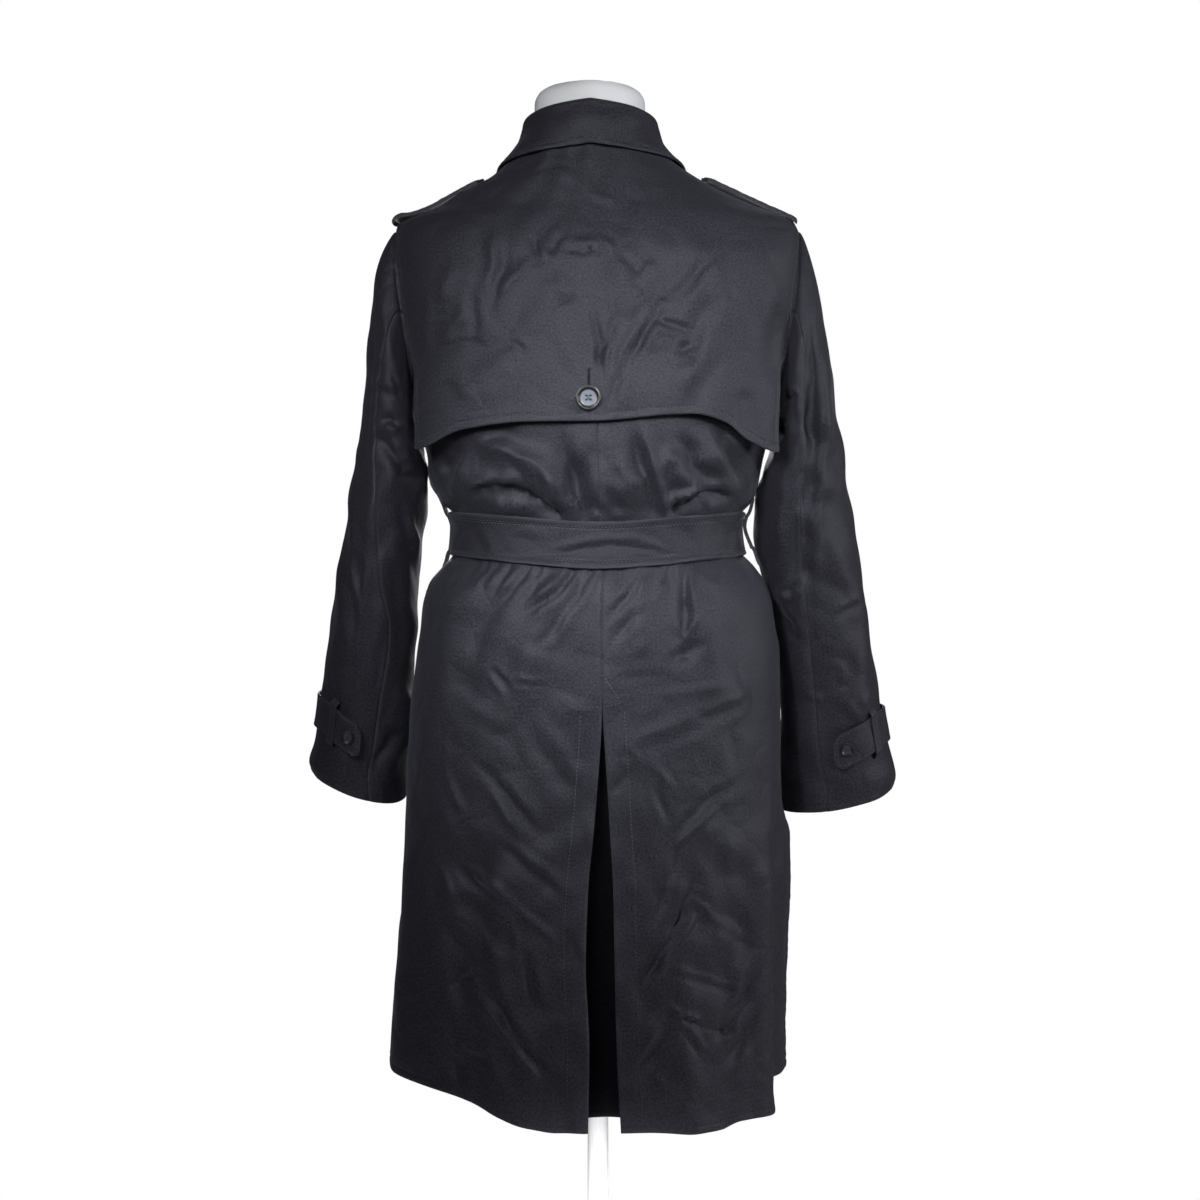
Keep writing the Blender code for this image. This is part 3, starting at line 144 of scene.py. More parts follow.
# The coat's inner face: half widths to the left and right, depths to the back and front, how
# square the section is, how much it tips down towards the front, and how far it sits to the left.
SECTION = "height left right back front square lean shift"
BODY = Curve(SECTION, [
    (0.44, 0.217, 0.1925, 0.16, 0.166, 2.3, 0, 0),
    (0.53, 0.214, 0.19, 0.154, 0.161, 2.3, 0, 0),
    (0.62, 0.2065, 0.1925, 0.148, 0.156, 2.3, 0, 0),
    (0.69, 0.201, 0.1955, 0.144, 0.152, 2.3, 0, 0),
    (0.735, 0.2, 0.195, 0.142, 0.15, 2.3, 0, 0),
    (0.775, 0.199, 0.19, 0.14, 0.148, 2.3, 0, 0),
    (0.85, 0.1955, 0.189, 0.137, 0.145, 2.3, 0, 0),
    (0.925, 0.1875, 0.188, 0.133, 0.141, 2.3, 0, 0),
    (0.95, 0.1835, 0.184, 0.1305, 0.1375, 2.3, 0, 0),
    (0.972, 0.1815, 0.1805, 0.1275, 0.134, 2.3, 0, 0),
    (0.994, 0.1755, 0.173, 0.122, 0.124, 2.3, 0, 0),
    (1.012, 0.161, 0.1615, 0.114, 0.115, 2.3, 0, 0),
    (1.028, 0.1485, 0.148, 0.107, 0.112, 2.3, 0, 0),
    (1.055, 0.1465, 0.145, 0.105, 0.111, 2.3, 0, 0),
    (1.07, 0.1505, 0.148, 0.108, 0.112, 2.3, 0, 0),
    (1.083, 0.1625, 0.159, 0.116, 0.1135, 2.3, 0, 0),
    (1.1, 0.174, 0.1655, 0.122, 0.1185, 2.35, 0, 0),
    (1.135, 0.1775, 0.173, 0.123, 0.131, 2.45, 0, 0),
    (1.189, 0.185, 0.181, 0.121, 0.14, 2.6, 0, 0),
    (1.24, 0.1955, 0.193, 0.1195, 0.138, 2.6, 0, 0),
    (1.29, 0.205, 0.203, 0.116, 0.13, 2.6, 0, 0),
    (1.33, 0.209, 0.207, 0.108, 0.119, 2.5, 0, 0),
    (1.353, 0.2085, 0.2065, 0.099, 0.107, 2.4, 0, 0),
    (1.368, 0.204, 0.202, 0.092, 0.098, 2.3, 0, 0),
    (1.382, 0.162, 0.1725, 0.085, 0.089, 2.25, 0, 0.003),
    (1.396, 0.139, 0.1415, 0.078, 0.08, 2.2, 0.05, 0.006),
    (1.41, 0.106, 0.112, 0.0705, 0.072, 2.2, 0.15, 0.0075),
    (1.4215, 0.0895, 0.091, 0.064, 0.066, 2.2, 0.25, 0.008),
    (1.432, 0.077, 0.077, 0.06, 0.062, 2.2, 0.33, 0.008),
])

# The free lower part of the storm flap, which hangs straight from the shoulder blades.
FLAP = Curve(SECTION, [
    (1.12, 0.209, 0.205, 0.133, 0.14, 2.6, 0, 0),
    (1.2, 0.206, 0.203, 0.129, 0.14, 2.6, 0, 0),
    (1.262, 0.204, 0.201, 0.1235, 0.138, 2.6, 0, 0),
])
FLAP_EDGE = Curve("height turn", [
    (1.12, 66.5), (1.19, 68.5), (1.215, 71), (1.238, 75.5), (1.262, 77),
])
FLAP_HEM = Curve("turn height", [
    (-90, 1.13), (-66, 1.131), (-56, 1.142), (-48, 1.16), (-38, 1.168), (0, 1.161), (30, 1.16),
    (50, 1.153), (66, 1.134), (90, 1.134),
])
HEM = Curve("turn height", [
    (-180, 0.492), (-100, 0.491), (-72, 0.488), (-66, 0.4595), (-52, 0.4595), (-44, 0.4545),
    (-34, 0.4545), (-18, 0.4585), (0, 0.4585), (14, 0.4585), (24, 0.4625), (34, 0.472),
    (44, 0.4835), (60, 0.493), (75, 0.498), (90, 0.501), (180, 0.501),
])

# Where the two back panels end beside the centre back: one seam above, an open pleat below.
CENTRE_BACK = Curve("height left right", [
    (0.44, 0.01, -0.0235), (0.54, 0.0085, -0.0185), (0.62, 0.012, -0.0165),
    (0.698, 0.0095, -0.015), (0.749, 0.0045, -0.012), (0.81, -0.0005, -0.0085),
    (0.87, -0.0042, -0.0048), (0.89, -0.0045, -0.0045), (1.07, -0.004, -0.004),
    (1.16, 0.001, 0.001), (1.433, 0, 0),
])

# Folds, each a straight run from one place to another: a turn, and a height on the body or a share
# of the length on a sleeve. Depth is outward. The skirt comes first, then the blousing at the belt.
Fold = namedtuple("Fold", "turn_a run_a turn_b run_b depth width")
BODY_FOLDS = [
    (-34, 1, -36, 0.93, -0.0045, 0.01), (-41, 0.995, -46, 0.9, 0.004, 0.013),
    (-20, 0.995, -17, 0.94, 0.0028, 0.012), (22, 0.995, 30, 0.9, 0.0034, 0.015),
    (44, 0.985, 52, 0.9, -0.0036, 0.014), (60, 0.975, 66, 0.82, 0.0035, 0.018),
    (-63, 0.7, -63, 0.44, 0.006, 0.015), (-73, 0.74, -73, 0.44, -0.0075, 0.012),
    (-92, 0.73, -90, 0.44, 0.005, 0.02), (-52, 0.7, -48, 0.44, -0.004, 0.022),
    (-28, 0.64, -30, 0.44, 0.0035, 0.022), (34, 0.76, 28, 0.44, 0.0045, 0.022),
    (50, 0.72, 47, 0.44, -0.0045, 0.02), (74, 0.7, 70, 0.44, 0.005, 0.022),
    (100, 0.93, 104, 0.44, -0.0045, 0.022), (120, 0.96, 124, 0.44, 0.004, 0.024),
    (138, 0.99, 142, 0.46, -0.0035, 0.018), (-112, 0.95, -116, 0.44, -0.0045, 0.022),
    (-130, 0.98, -134, 0.44, 0.004, 0.022), (62, 1.092, 30, 1.11, 0.004, 0.01),
    (46, 1.088, 16, 1.086, -0.0028, 0.008), (66, 1.115, 40, 1.15, -0.0035, 0.011),
    (20, 1.1, 6, 1.14, 0.0028, 0.01), (-12, 1.092, -30, 1.12, 0.0034, 0.01),
    (-28, 1.088, -52, 1.106, -0.0034, 0.009), (-40, 1.11, -64, 1.15, 0.004, 0.011),
    (100, 1.1, 128, 1.13, 0.0038, 0.013), (-100, 1.104, -126, 1.128, 0.0038, 0.013),
]

# Soft folds of the storm flap.
FLAP_FOLDS = [
    (-6, 1.33, -34, 1.215, 0.0026, 0.016), (-22, 1.3, -50, 1.22, -0.0022, 0.014),
    (-44, 1.33, -58, 1.25, 0.0024, 0.014), (18, 1.3, 36, 1.22, 0.0022, 0.016),
    (40, 1.27, 56, 1.19, -0.0022, 0.014), (-54, 1.18, -58, 1.13, -0.004, 0.009),
]

# Sleeve rings: the outer and the inner point of each, its middle and half depth from back to
# front, the turn of the back seam round the sleeve (0 outside, 90 behind), and how far the back
# of the ring hangs below its middle.
RING = "along outer_x outer_z inner_x inner_z middle_y half_depth seam lean"
SLEEVES = {
    1: Curve(RING, [
        (0, 0.212, 1.3645, 0.191, 1.19, -0.001, 0.047, 92, 0),
        (0.05, 0.2212, 1.358, 0.191, 1.18, -0.001, 0.055, 90, 0),
        (0.09, 0.23, 1.338, 0.19, 1.17, -0.002, 0.06, 84, 0),
        (0.14, 0.2352, 1.305, 0.1885, 1.158, -0.002, 0.064, 76, 0),
        (0.2, 0.2385, 1.268, 0.186, 1.145, -0.003, 0.066, 68, 0),
        (0.27, 0.243, 1.224, 0.183, 1.129, -0.004, 0.067, 62, 0),
        (0.34, 0.2482, 1.175, 0.1785, 1.108, -0.006, 0.067, 62, 0),
        (0.42, 0.2553, 1.122, 0.18, 1.082, -0.01, 0.066, 72, 0),
        (0.5, 0.2645, 1.072, 0.1838, 1.048, -0.015, 0.065, 84, 0),
        (0.6, 0.2752, 1.0116, 0.1908, 0.993, -0.022, 0.063, 100, 0.001),
        (0.7, 0.2842, 0.9507, 0.1925, 0.938, -0.03, 0.061, 118, 0.002),
        (0.8, 0.2927, 0.8923, 0.198, 0.88, -0.038, 0.059, 114, 0.004),
        (0.9, 0.3012, 0.8358, 0.203, 0.8235, -0.045, 0.057, 110, 0.007),
        (0.96, 0.3085, 0.808, 0.2055, 0.79, -0.048, 0.056, 108, 0.009),
        (1, 0.3045, 0.7965, 0.2055, 0.7655, -0.05, 0.055, 108, 0.01),
    ]),
    -1: Curve(RING, [
        (0, 0.21, 1.3645, 0.187, 1.19, -0.001, 0.047, 92, 0),
        (0.05, 0.2195, 1.356, 0.187, 1.18, -0.001, 0.055, 90, 0),
        (0.09, 0.2262, 1.333, 0.187, 1.17, -0.002, 0.06, 86, 0),
        (0.14, 0.2322, 1.298, 0.186, 1.158, -0.002, 0.064, 82, 0),
        (0.2, 0.2368, 1.256, 0.1835, 1.145, -0.003, 0.066, 84, 0),
        (0.27, 0.2445, 1.211, 0.18, 1.129, -0.004, 0.067, 88, 0),
        (0.34, 0.2522, 1.164, 0.173, 1.108, -0.006, 0.067, 92, 0),
        (0.42, 0.2606, 1.113, 0.1655, 1.082, -0.01, 0.066, 96, 0),
        (0.5, 0.2682, 1.068, 0.165, 1.048, -0.015, 0.065, 100, 0),
        (0.6, 0.279, 1.0065, 0.1755, 0.992, -0.022, 0.063, 106, 0.001),
        (0.7, 0.2877, 0.9466, 0.1885, 0.93, -0.03, 0.061, 112, 0.002),
        (0.8, 0.2975, 0.887, 0.1935, 0.87, -0.038, 0.06, 112, 0.003),
        (0.9, 0.309, 0.8277, 0.1955, 0.81, -0.045, 0.059, 110, 0.0045),
        (0.96, 0.3175, 0.7905, 0.1985, 0.776, -0.048, 0.058, 108, 0.006),
        (1, 0.3145, 0.7765, 0.1985, 0.7545, -0.05, 0.057, 108, 0.0065),
    ]),
}
FRONT_SEAM = -115.0  # the sleeve's other seam, inside the arm

SLEEVE_FOLDS = {
    1: [
        (40, 0.16, 46, 0.4, -0.003, 0.012), (100, 0.4, 60, 0.52, 0.003, 0.012),
        (110, 0.5, 70, 0.6, -0.0028, 0.01), (30, 0.6, 70, 0.74, 0.0024, 0.012),
        (-40, 0.2, -50, 0.6, -0.003, 0.014), (-80, 0.55, -20, 0.62, -0.0028, 0.012),
    ],
    -1: [
        (52, 0.14, 60, 0.44, 0.0036, 0.011), (76, 0.18, 84, 0.46, -0.0036, 0.01),
        (96, 0.48, 60, 0.56, 0.0034, 0.012), (100, 0.58, 62, 0.62, -0.0034, 0.01),
        (36, 0.62, 50, 0.82, 0.0026, 0.012), (-40, 0.2, -50, 0.6, -0.003, 0.014),
        (-80, 0.55, -20, 0.62, -0.0028, 0.012),
    ],
}
SLEEVE_GIRTH = 0.055  # radius that turns an angle round the sleeve into a length
SLEEVE_LENGTH = 0.58

# The collar's top fold, and its free lower edge, which is given by a place on the body's surface
# and how far it stands off.
COLLAR_TURN = 148.0
COLLAR_FOLD = Curve("turn out height", [
    (0, 0.064, 1.493), (60, 0.0655, 1.484), (90, 0.0675, 1.477), (120, 0.068, 1.452),
    (148, 0.072, 1.424),
])
COLLAR_EDGE = Curve("turn height off", [
    (0, 1.4265, 0.0105), (41, 1.422, 0.0095), (62, 1.42, 0.0085), (90, 1.4185, 0.008),
    (106, 1.413, 0.0095), (118, 1.402, 0.0105), (135, 1.374, 0.011), (148, 1.378, 0.011),
])
COLLAR_SHIFT = 0.0080

# An epaulette from its neck end along the shoulder and over its tip.
EPAULETTES = {
    1: Curve("along x height", [
        (0, 0.119, 1.4156), (0.11, 0.127, 1.413), (0.3, 0.144, 1.4048), (0.48, 0.16, 1.3958),
        (0.66, 0.179, 1.386), (0.8, 0.196, 1.3806), (0.87, 0.204, 1.3798), (0.92, 0.2105, 1.378),
        (0.95, 0.212, 1.3756), (0.97, 0.2105, 1.3736), (1, 0.207, 1.373),
    ]),
    -1: Curve("along x height", [
        (0, 0.108, 1.419), (0.11, 0.116, 1.4182), (0.3, 0.134, 1.4108), (0.48, 0.1525, 1.4021),
        (0.66, 0.171, 1.3937), (0.8, 0.187, 1.3866), (0.88, 0.196, 1.3829), (0.94, 0.202, 1.381),
        (1, 0.206, 1.3787),
    ]),
}

# The dress form, clear of the cloth but for the shoulders.
FORM = Curve(SECTION, [
    (0.8, 0.148, 0.146, 0.102, 0.106, 2.2, 0, 0),
    (0.85, 0.162, 0.158, 0.112, 0.116, 2.2, 0, 0),
    (0.93, 0.168, 0.164, 0.118, 0.12, 2.2, 0, 0),
    (1, 0.15, 0.147, 0.104, 0.108, 2.2, 0, 0),
    (1.045, 0.128, 0.126, 0.088, 0.094, 2.2, 0, 0),
    (1.1, 0.136, 0.133, 0.092, 0.104, 2.2, 0, 0),
    (1.19, 0.156, 0.154, 0.103, 0.122, 2.2, 0, 0),
    (1.26, 0.174, 0.172, 0.105, 0.122, 2.2, 0, 0),
    (1.33, 0.187, 0.185, 0.099, 0.106, 2.2, 0, 0),
    (1.358, 0.189, 0.188, 0.092, 0.096, 2.2, 0, 0),
    (1.374, 0.174, 0.176, 0.086, 0.09, 2.2, 0, 0.0015),
    (1.4145, 0.094, 0.097, 0.063, 0.064, 2.2, 0.18, 0.0078),
    (1.4225, 0.08, 0.08, 0.058, 0.059, 2.2, 0.25, 0.008),
    (1.432, 0.068, 0.068, 0.0545, 0.0555, 2.2, 0.3, 0.008),
    (1.445, 0.061, 0.061, 0.053, 0.054, 2.15, 0.2, 0.0085),
    (1.465, 0.0585, 0.0585, 0.0525, 0.0535, 2.1, 0.08, 0.0085),
    (1.498, 0.058, 0.058, 0.052, 0.053, 2.1, 0, 0.0085),
    (1.508, 0.054, 0.054, 0.0485, 0.0495, 2.1, 0, 0.0085),
    (1.516, 0.042, 0.042, 0.0375, 0.038, 2.05, 0, 0.0085),
    (1.521, 0.02, 0.02, 0.018, 0.018, 2, 0, 0.0085),
])
FORM_TOUCH_LOW = 1.376
FORM_TOUCH_HIGH = 1.4060
FORM_TOUCH_STEP = 0.008
FORM_AIR = 0.0013


Hand = namedtuple("Hand", "sign turn_step row_step")
ROUND_BODY = Hand(1, 0.4, 0.0015)
COLLAR_HAND = Hand(-1, 0.4, 0.01)
STAND_HAND = Hand(1, 0.4, 0.01)
SLEEVE_SEAM_TURN = 0.02
COLLAR_LENGTH = 0.075  # of the fall, from the fold to its edge
FALL_ROLL = 0.12
# The roll's start, bend and shoulder: out and up from the top fold.
FALL_PATH = ((-0.0008, -0.0004), (0.0017, -0.0006), (0.0020, -0.0045))
FALL_BULGE_BACK = 0.0022
FALL_BULGE_SIDE = -0.0060  # the sides of the fall are hollow
# Middle of each cuff strap along its sleeve, turns of its bend, loop and tip, and how far the
# tip droops along the sleeve and stands off it.
CUFF_STRAPS = {
    1: {"middle": 0.853, "bend": 38.0, "loop": 58.0, "tip": 94.0, "droop": 0.034, "lift": 0.0090},
    -1: {"middle": 0.868, "bend": 30.0, "loop": 46.0, "tip": 96.0, "droop": 0.026, "lift": 0.0030},
}

BELT_LOOPS = {1: {"turn": 98.0, "slack": 0.0}, -1: {"turn": 82.0, "slack": 0.006}}


# ---------------------------------------------------------------- shapes of the cloth
def ease(value):
    """0 below 0, 1 above 1, and a soft step between."""
    value = np.clip(value, 0.0, 1.0)
    return value * value * (3 - 2 * value)


def blend(start, end, share):
    return start + (end - start) * share


def spokes(turn, rise=0.0):
    """Unit arrows that point away from the middle at each turn."""
    angle = np.radians(turn)
    return np.stack([np.sin(angle), np.cos(angle), np.full_like(angle, rise)], -1)


def hump(across, up, across_a, up_a, across_b, up_b, width):
    """1 on a straight run from a to b, falling off softly to 0 on all sides."""
    run_across = across_b - across_a
    run_up = up_b - up_a
    share = (across - across_a) * run_across + (up - up_a) * run_up
    share = np.clip(share / (run_across**2 + run_up**2), 0.0, 1.0)
    miss = (across - across_a - share * run_across) ** 2 + (up - up_a - share * run_up) ** 2
    return np.exp(-miss / width**2)


def fold_depth(folds, turn, run, girth=GIRTH, length=1.0):
    """How far folds stand off the body or a sleeve."""
    total = np.zeros(np.broadcast(turn, run).shape)
    for fold in map(Fold._make, folds):
        total += fold.depth * hump(
            np.radians(turn) * girth, run * length,
            math.radians(fold.turn_a) * girth, fold.run_a * length,
            math.radians(fold.turn_b) * girth, fold.run_b * length, fold.width,
        )
    return total


def outward(surface, u, v, hand):
    """Unit arrows that point away from the body all over a surface."""
    along_u = surface(u + hand.turn_step, v) - surface(u - hand.turn_step, v)
    along_v = surface(u, v + hand.row_step) - surface(u, v - hand.row_step)
    across = np.cross(along_v, along_u) * hand.sign
    return across / np.maximum(np.linalg.norm(across, axis=-1, keepdims=True), 1e-12)


def section_face(section, turn, height):
    """A rounded section, tipped by its lean."""
    across = np.sin(np.radians(turn))
    along = np.cos(np.radians(turn))
    wide = np.where(across >= 0, section.left, section.right)
    deep = np.where(along >= 0, section.back, section.front)
    power = section.square
    reach = (np.abs(across / wide) ** power + np.abs(along / deep) ** power) ** (-1 / power)
    y = reach * along
    return np.stack([reach * across + section.shift, y, height + section.lean * y], -1)


def wrap(turn):
    return (turn + 180.0) % 360.0 - 180.0


def body_face(turn, height):
    """The coat's inner face, with its large folds and uneven hem."""
    near = wrap(turn)
    fade = np.maximum(0.0, 1 - (height - HEM_BACK) / HEM_FADE)
    level = height + (HEM.at(near).height - HEM_BACK) * fade
    stand = fold_depth(BODY_FOLDS, near, level)
    return section_face(BODY.at(level), near, level) + spokes(near) * stand[..., None]


def flap_face(turn, height):
    """The storm flap: on the back above, free of it below."""
    lying = body_face(turn, height) + outward(body_face, turn, height, ROUND_BODY) * ON_PLY
    hanging = section_face(FLAP.at(height), turn, height)
    share = ease((FLAP_JOIN - height) / FLAP_FREE)[..., None]
    floor = np.where(height > FLAP_FIRM, 0.0, -CLOTH)
    stand = np.maximum(fold_depth(FLAP_FOLDS, turn, height), floor)
    return blend(lying, hanging, share) + spokes(turn) * stand[..., None]


def side_reach(y, height, side):
    """How far sideways the body's inner face lies at a depth and height beside the armhole."""
    section = BODY.at(height)
    wide = section.left if side > 0 else section.right
    deep = np.where(y >= 0, section.back, section.front)
    return wide * (1 - np.abs(y / deep) ** section.square) ** (1 / section.square)


def armhole_turn(height, side, facing):
    """Where a panel ends at a height: at the armhole, or at the side or shoulder seam."""
    rise = (height - ARMHOLE_MIDDLE) / ARMHOLE_HALF_HEIGHT
    y = ARMHOLE_Y + facing * ARMHOLE_HALF_DEPTH * np.sqrt(np.clip(1 - rise * rise, 0, 1))
    turn = np.degrees(np.arctan2(side_reach(y, height, side), y))
    return np.where(np.abs(rise) >= 1, 90.0, turn)


def half_seam(height):
    """Half a seam's air as a turn."""
    section = BODY.at(height)
    narrowest = np.minimum(np.minimum(section.left, section.right), section.back)
    return np.degrees(SEWN_GAP / 2 / narrowest)


def sleeve_face(side, turn, along):
    """The outer face of a sleeve; turn 0 is outside, 90 behind, 180 beside the body."""
    ring = SLEEVES[side].at(along)
    angle = np.radians(turn)
    reach_x = (ring.outer_x - ring.inner_x) / 2 * np.cos(angle)
    reach_z = (ring.outer_z - ring.inner_z) / 2 * np.cos(angle)
    across = np.sin(angle)
    spoke = np.stack([reach_x, ring.half_depth * across, reach_z - ring.lean * across], -1)
    middle_x = (ring.outer_x + ring.inner_x) / 2
    middle_z = (ring.outer_z + ring.inner_z) / 2
    point = np.stack([middle_x, ring.middle_y * np.ones_like(angle), middle_z], -1) + spoke
    stand = fold_depth(SLEEVE_FOLDS[side], wrap(turn), along, SLEEVE_GIRTH, SLEEVE_LENGTH)
    free = ease((along - SLEEVE_PIPE) / SLEEVE_BLEND)
    unit = spoke / np.linalg.norm(spoke, axis=-1, keepdims=True)
    point = point + unit * (stand * free)[..., None]
    y = ARMHOLE_Y + (ARMHOLE_HALF_DEPTH - LAYER) * np.sin(angle)
    z = ARMHOLE_MIDDLE + (ARMHOLE_HALF_HEIGHT - LAYER) * np.cos(angle)
    push = SLEEVE_PUSH * np.minimum(along / SLEEVE_PIPE, 1.0) - SLEEVE_TUCK
    start = np.stack([side_reach(y, z, side) + push, y, z], -1)
    point = blend(start, point, free[..., None])
    return point * np.array([side, 1.0, 1.0])


def collar_spoke(turn, out, height):
    angle = np.radians(turn)
    return np.stack([COLLAR_SHIFT + out * np.sin(angle), out * np.cos(angle), height], -1)


def stand_face(turn, share):
    """The collar's stand, from just inside the neck seam up to the fold."""
    seam = body_face(turn, np.full_like(turn, NECK_HEIGHT))
    fold = COLLAR_FOLD.at(np.abs(turn))
    top = collar_spoke(turn, fold.out - CLOTH, fold.height - LAYER)
    return blend(seam - spokes(turn) * (CLOTH + 2 * SEAM), top, share[..., None])


def fall_face(turn, share):
    """The collar's fall: over the top of the stand, then down and out to its free edge."""
    fold = COLLAR_FOLD.at(np.abs(turn))
    edge = COLLAR_EDGE.at(np.abs(turn))
    low = body_face(turn, edge.height)
    low = low + outward(body_face, turn, edge.height, ROUND_BODY) * edge.off[..., None]
    top, bend, shoulder = (
        collar_spoke(turn, fold.out + out, fold.height + up) for out, up in FALL_PATH
    )
    part = np.clip(share / FALL_ROLL, 0, 1)[..., None]
    rolled = blend(blend(top, bend, part), blend(bend, shoulder, part), part)
    part = np.clip((share - FALL_ROLL) / (1 - FALL_ROLL), 0, 1)
    bulge = blend(FALL_BULGE_BACK, FALL_BULGE_SIDE, np.sin(np.radians(turn)) ** 2)
    hollow = spokes(turn, 0.2) * (bulge * np.sin(np.pi * part))[..., None]
    falling = blend(shoulder, low, part[..., None]) + hollow
    return np.where((share < FALL_ROLL)[..., None], rolled, falling)


def belt_face(turn, up):
    """The body's surface beside the belt; up is measured from the belt's middle."""
    rise = BELT_RISE * ease(np.abs(wrap(turn)) / 85.0)
    return body_face(turn, BELT_MIDDLE + rise + up)


def overlap_share(turn):
    """1 where the right front lies on the left one, 0 clear of it."""
    past = (180.0 - np.abs(turn) - OVERLAP_TURN - 2.0) / OVERLAP_STEP
    return 1 - ease(past)


def belt_stand(turn):
    """The belt lies on one ply at the back and on two where the fronts overlap."""
    return ON_PLY * (1 + overlap_share(wrap(turn)))


def upper_stand(turn):
    """How far the right front lies off the body where the left front is under it."""
    return ON_PLY * overlap_share(turn)


def roll_turn(height):
    """Turn at which a front ends: past the centre front, or at its lapel's roll."""
    share = np.clip((height - BREAK_HEIGHT) / (NECK_HEIGHT - BREAK_HEIGHT), 0, 1)
    return blend(180.0 + OVERLAP_TURN, ROLL_TOP_TURN, share)


def lapel_width(height):
    """Width of a lapel at a height, as a turn."""
    rising = (height - BREAK_HEIGHT) / (LAPEL_POINT_HEIGHT - BREAK_HEIGHT)
    falling = (height - LAPEL_POINT_HEIGHT) / (LAPEL_TOP_HEIGHT - LAPEL_POINT_HEIGHT)
    share = np.where(height < LAPEL_POINT_HEIGHT, rising, 1 - 0.8 * falling)
    return np.degrees(LAPEL_WIDTH * share / LAPEL_ARM)


def form_face(turn, height):
    """The dress form under the coat."""
    own = section_face(FORM.at(height), turn, height)
    touch = ease((height - FORM_TOUCH_LOW) / FORM_TOUCH_STEP)
    touch = touch * ease((FORM_TOUCH_HIGH - height) / FORM_TOUCH_STEP + 1)
    under = body_face(turn, height) - outward(body_face, turn, height, ROUND_BODY) * FORM_AIR
    return blend(own, under, touch[..., None])


# ---------------------------------------------------------------- creases and seams
VIEW_BACK = 2.52  # creases of the back are drawn as they are seen from this far behind
VIEW_HEIGHT = 1.062


def drawn(point):
    """Where a place lies on a drawing of the coat's back, in metres across and up."""
    share = VIEW_BACK / (VIEW_BACK - point[..., 1])
    across = point[..., 0] * share
    return across, VIEW_HEIGHT + (point[..., 2] - VIEW_HEIGHT) * share


RIPPLE_STRETCHES = (1.0, 1.37, 0.71, 2.3)
RIPPLE_HEIGHT = 2.4


def ripple(along, seed, length):
    """An uneven wave about 0, with bumps roughly one length apart."""
    draw = np.random.default_rng(seed)
    total = np.zeros_like(along)
    for stretch in RIPPLE_STRETCHES:
        total += np.sin(along * 2 * np.pi / (length * stretch) + draw.uniform(0, 2 * np.pi))
    return total / RIPPLE_HEIGHT


def mottle(across, up, seed, length, count=14):
    """Soft uneven swells about 0, roughly one length wide."""
    draw = np.random.default_rng(seed)
    total = np.zeros_like(across)
    for _ in range(count):
        heading = draw.uniform(0, np.pi)
        stretch = length * draw.uniform(0.7, 1.8)
        run = across * np.cos(heading) + up * np.sin(heading)
        total += np.sin(run * 2 * np.pi / stretch + draw.uniform(0, 2 * np.pi))
    return total / np.sqrt(count / 2)


Crease = namedtuple("Crease", "x_a z_a x_b z_b depth width")
# The form of a crease. Every length across it is in its own widths.
CREASE_REACH = 7
CREASE_WAVER = 0.30
CREASE_WAVE = 0.7  # of its own length
CREASE_FADE, CREASE_FADE_POWER = 0.50, 3.0
RIDGE_HEIGHT, RIDGE_ROUND, RIDGE_POWER = 1.22, 0.10, 0.68
TROUGHS = ((0.30, 2.0), (0.22, -2.2))  # depth and place of the hollow on each side
TROUGH_WIDTH = 1.2


def bell(off, middle, width):
    """1 at the middle, falling off to 0 within about two widths."""
    return np.exp(-(((off - middle) / width) ** 2))


def crease_depth(creases, across, up):
    """Creases: each fades towards its ends and is a little uneven."""
    total = np.zeros_like(across)
    for number, row in enumerate(creases):
        crease = Crease(*(value / 1000 for value in row))
        run = math.hypot(crease.x_b - crease.x_a, crease.z_b - crease.z_a)
        step_x = (crease.x_b - crease.x_a) / run
        step_z = (crease.z_b - crease.z_a) / run
        along = (across - crease.x_a) * step_x + (up - crease.z_a) * step_z
        off = (across - crease.x_a) * step_z - (up - crease.z_a) * step_x
        near = (np.abs(off) < CREASE_REACH * crease.width) & (np.abs(along - run / 2) < run)
        if not near.any():
            continue
        here = along[near]
        waver = CREASE_WAVER * crease.width * ripple(here, number, run * CREASE_WAVE)
        side = off[near] + waver
        taper = np.exp(-np.abs((here - run / 2) / (run * CREASE_FADE)) ** CREASE_FADE_POWER)
        rounded = (side / crease.width) ** 2 + RIDGE_ROUND
        shape = RIDGE_HEIGHT * np.exp(-(rounded**RIDGE_POWER))
        for depth, place in TROUGHS:
            shape -= depth * bell(side, place * crease.width, TROUGH_WIDTH * crease.width)
        total[near] += crease.depth * taper * shape
    return total


PUCKER_LENGTH = 0.011
# Height and width of what the cloth does beside an edge, in metres.
SEAM_DIP = (-0.0010, 0.0012)
SEAM_PUCKER = (0.00030, 0.006)
EDGE_ROUND = (-0.0005, 0.0006)
STITCH_GROOVE = (-0.00050, 0.0009)
STITCH_PUCKER = (0.00022, 0.0050)
PUFF, PUFF_WIDTH, PUFF_WAVE = 0.00012, 0.38, 0.6  # between edge and stitches; width by share
STITCH_AT = {"edge": 0.006, "hem": 0.0072, "belt": 0.0076, "strap": 0.004}


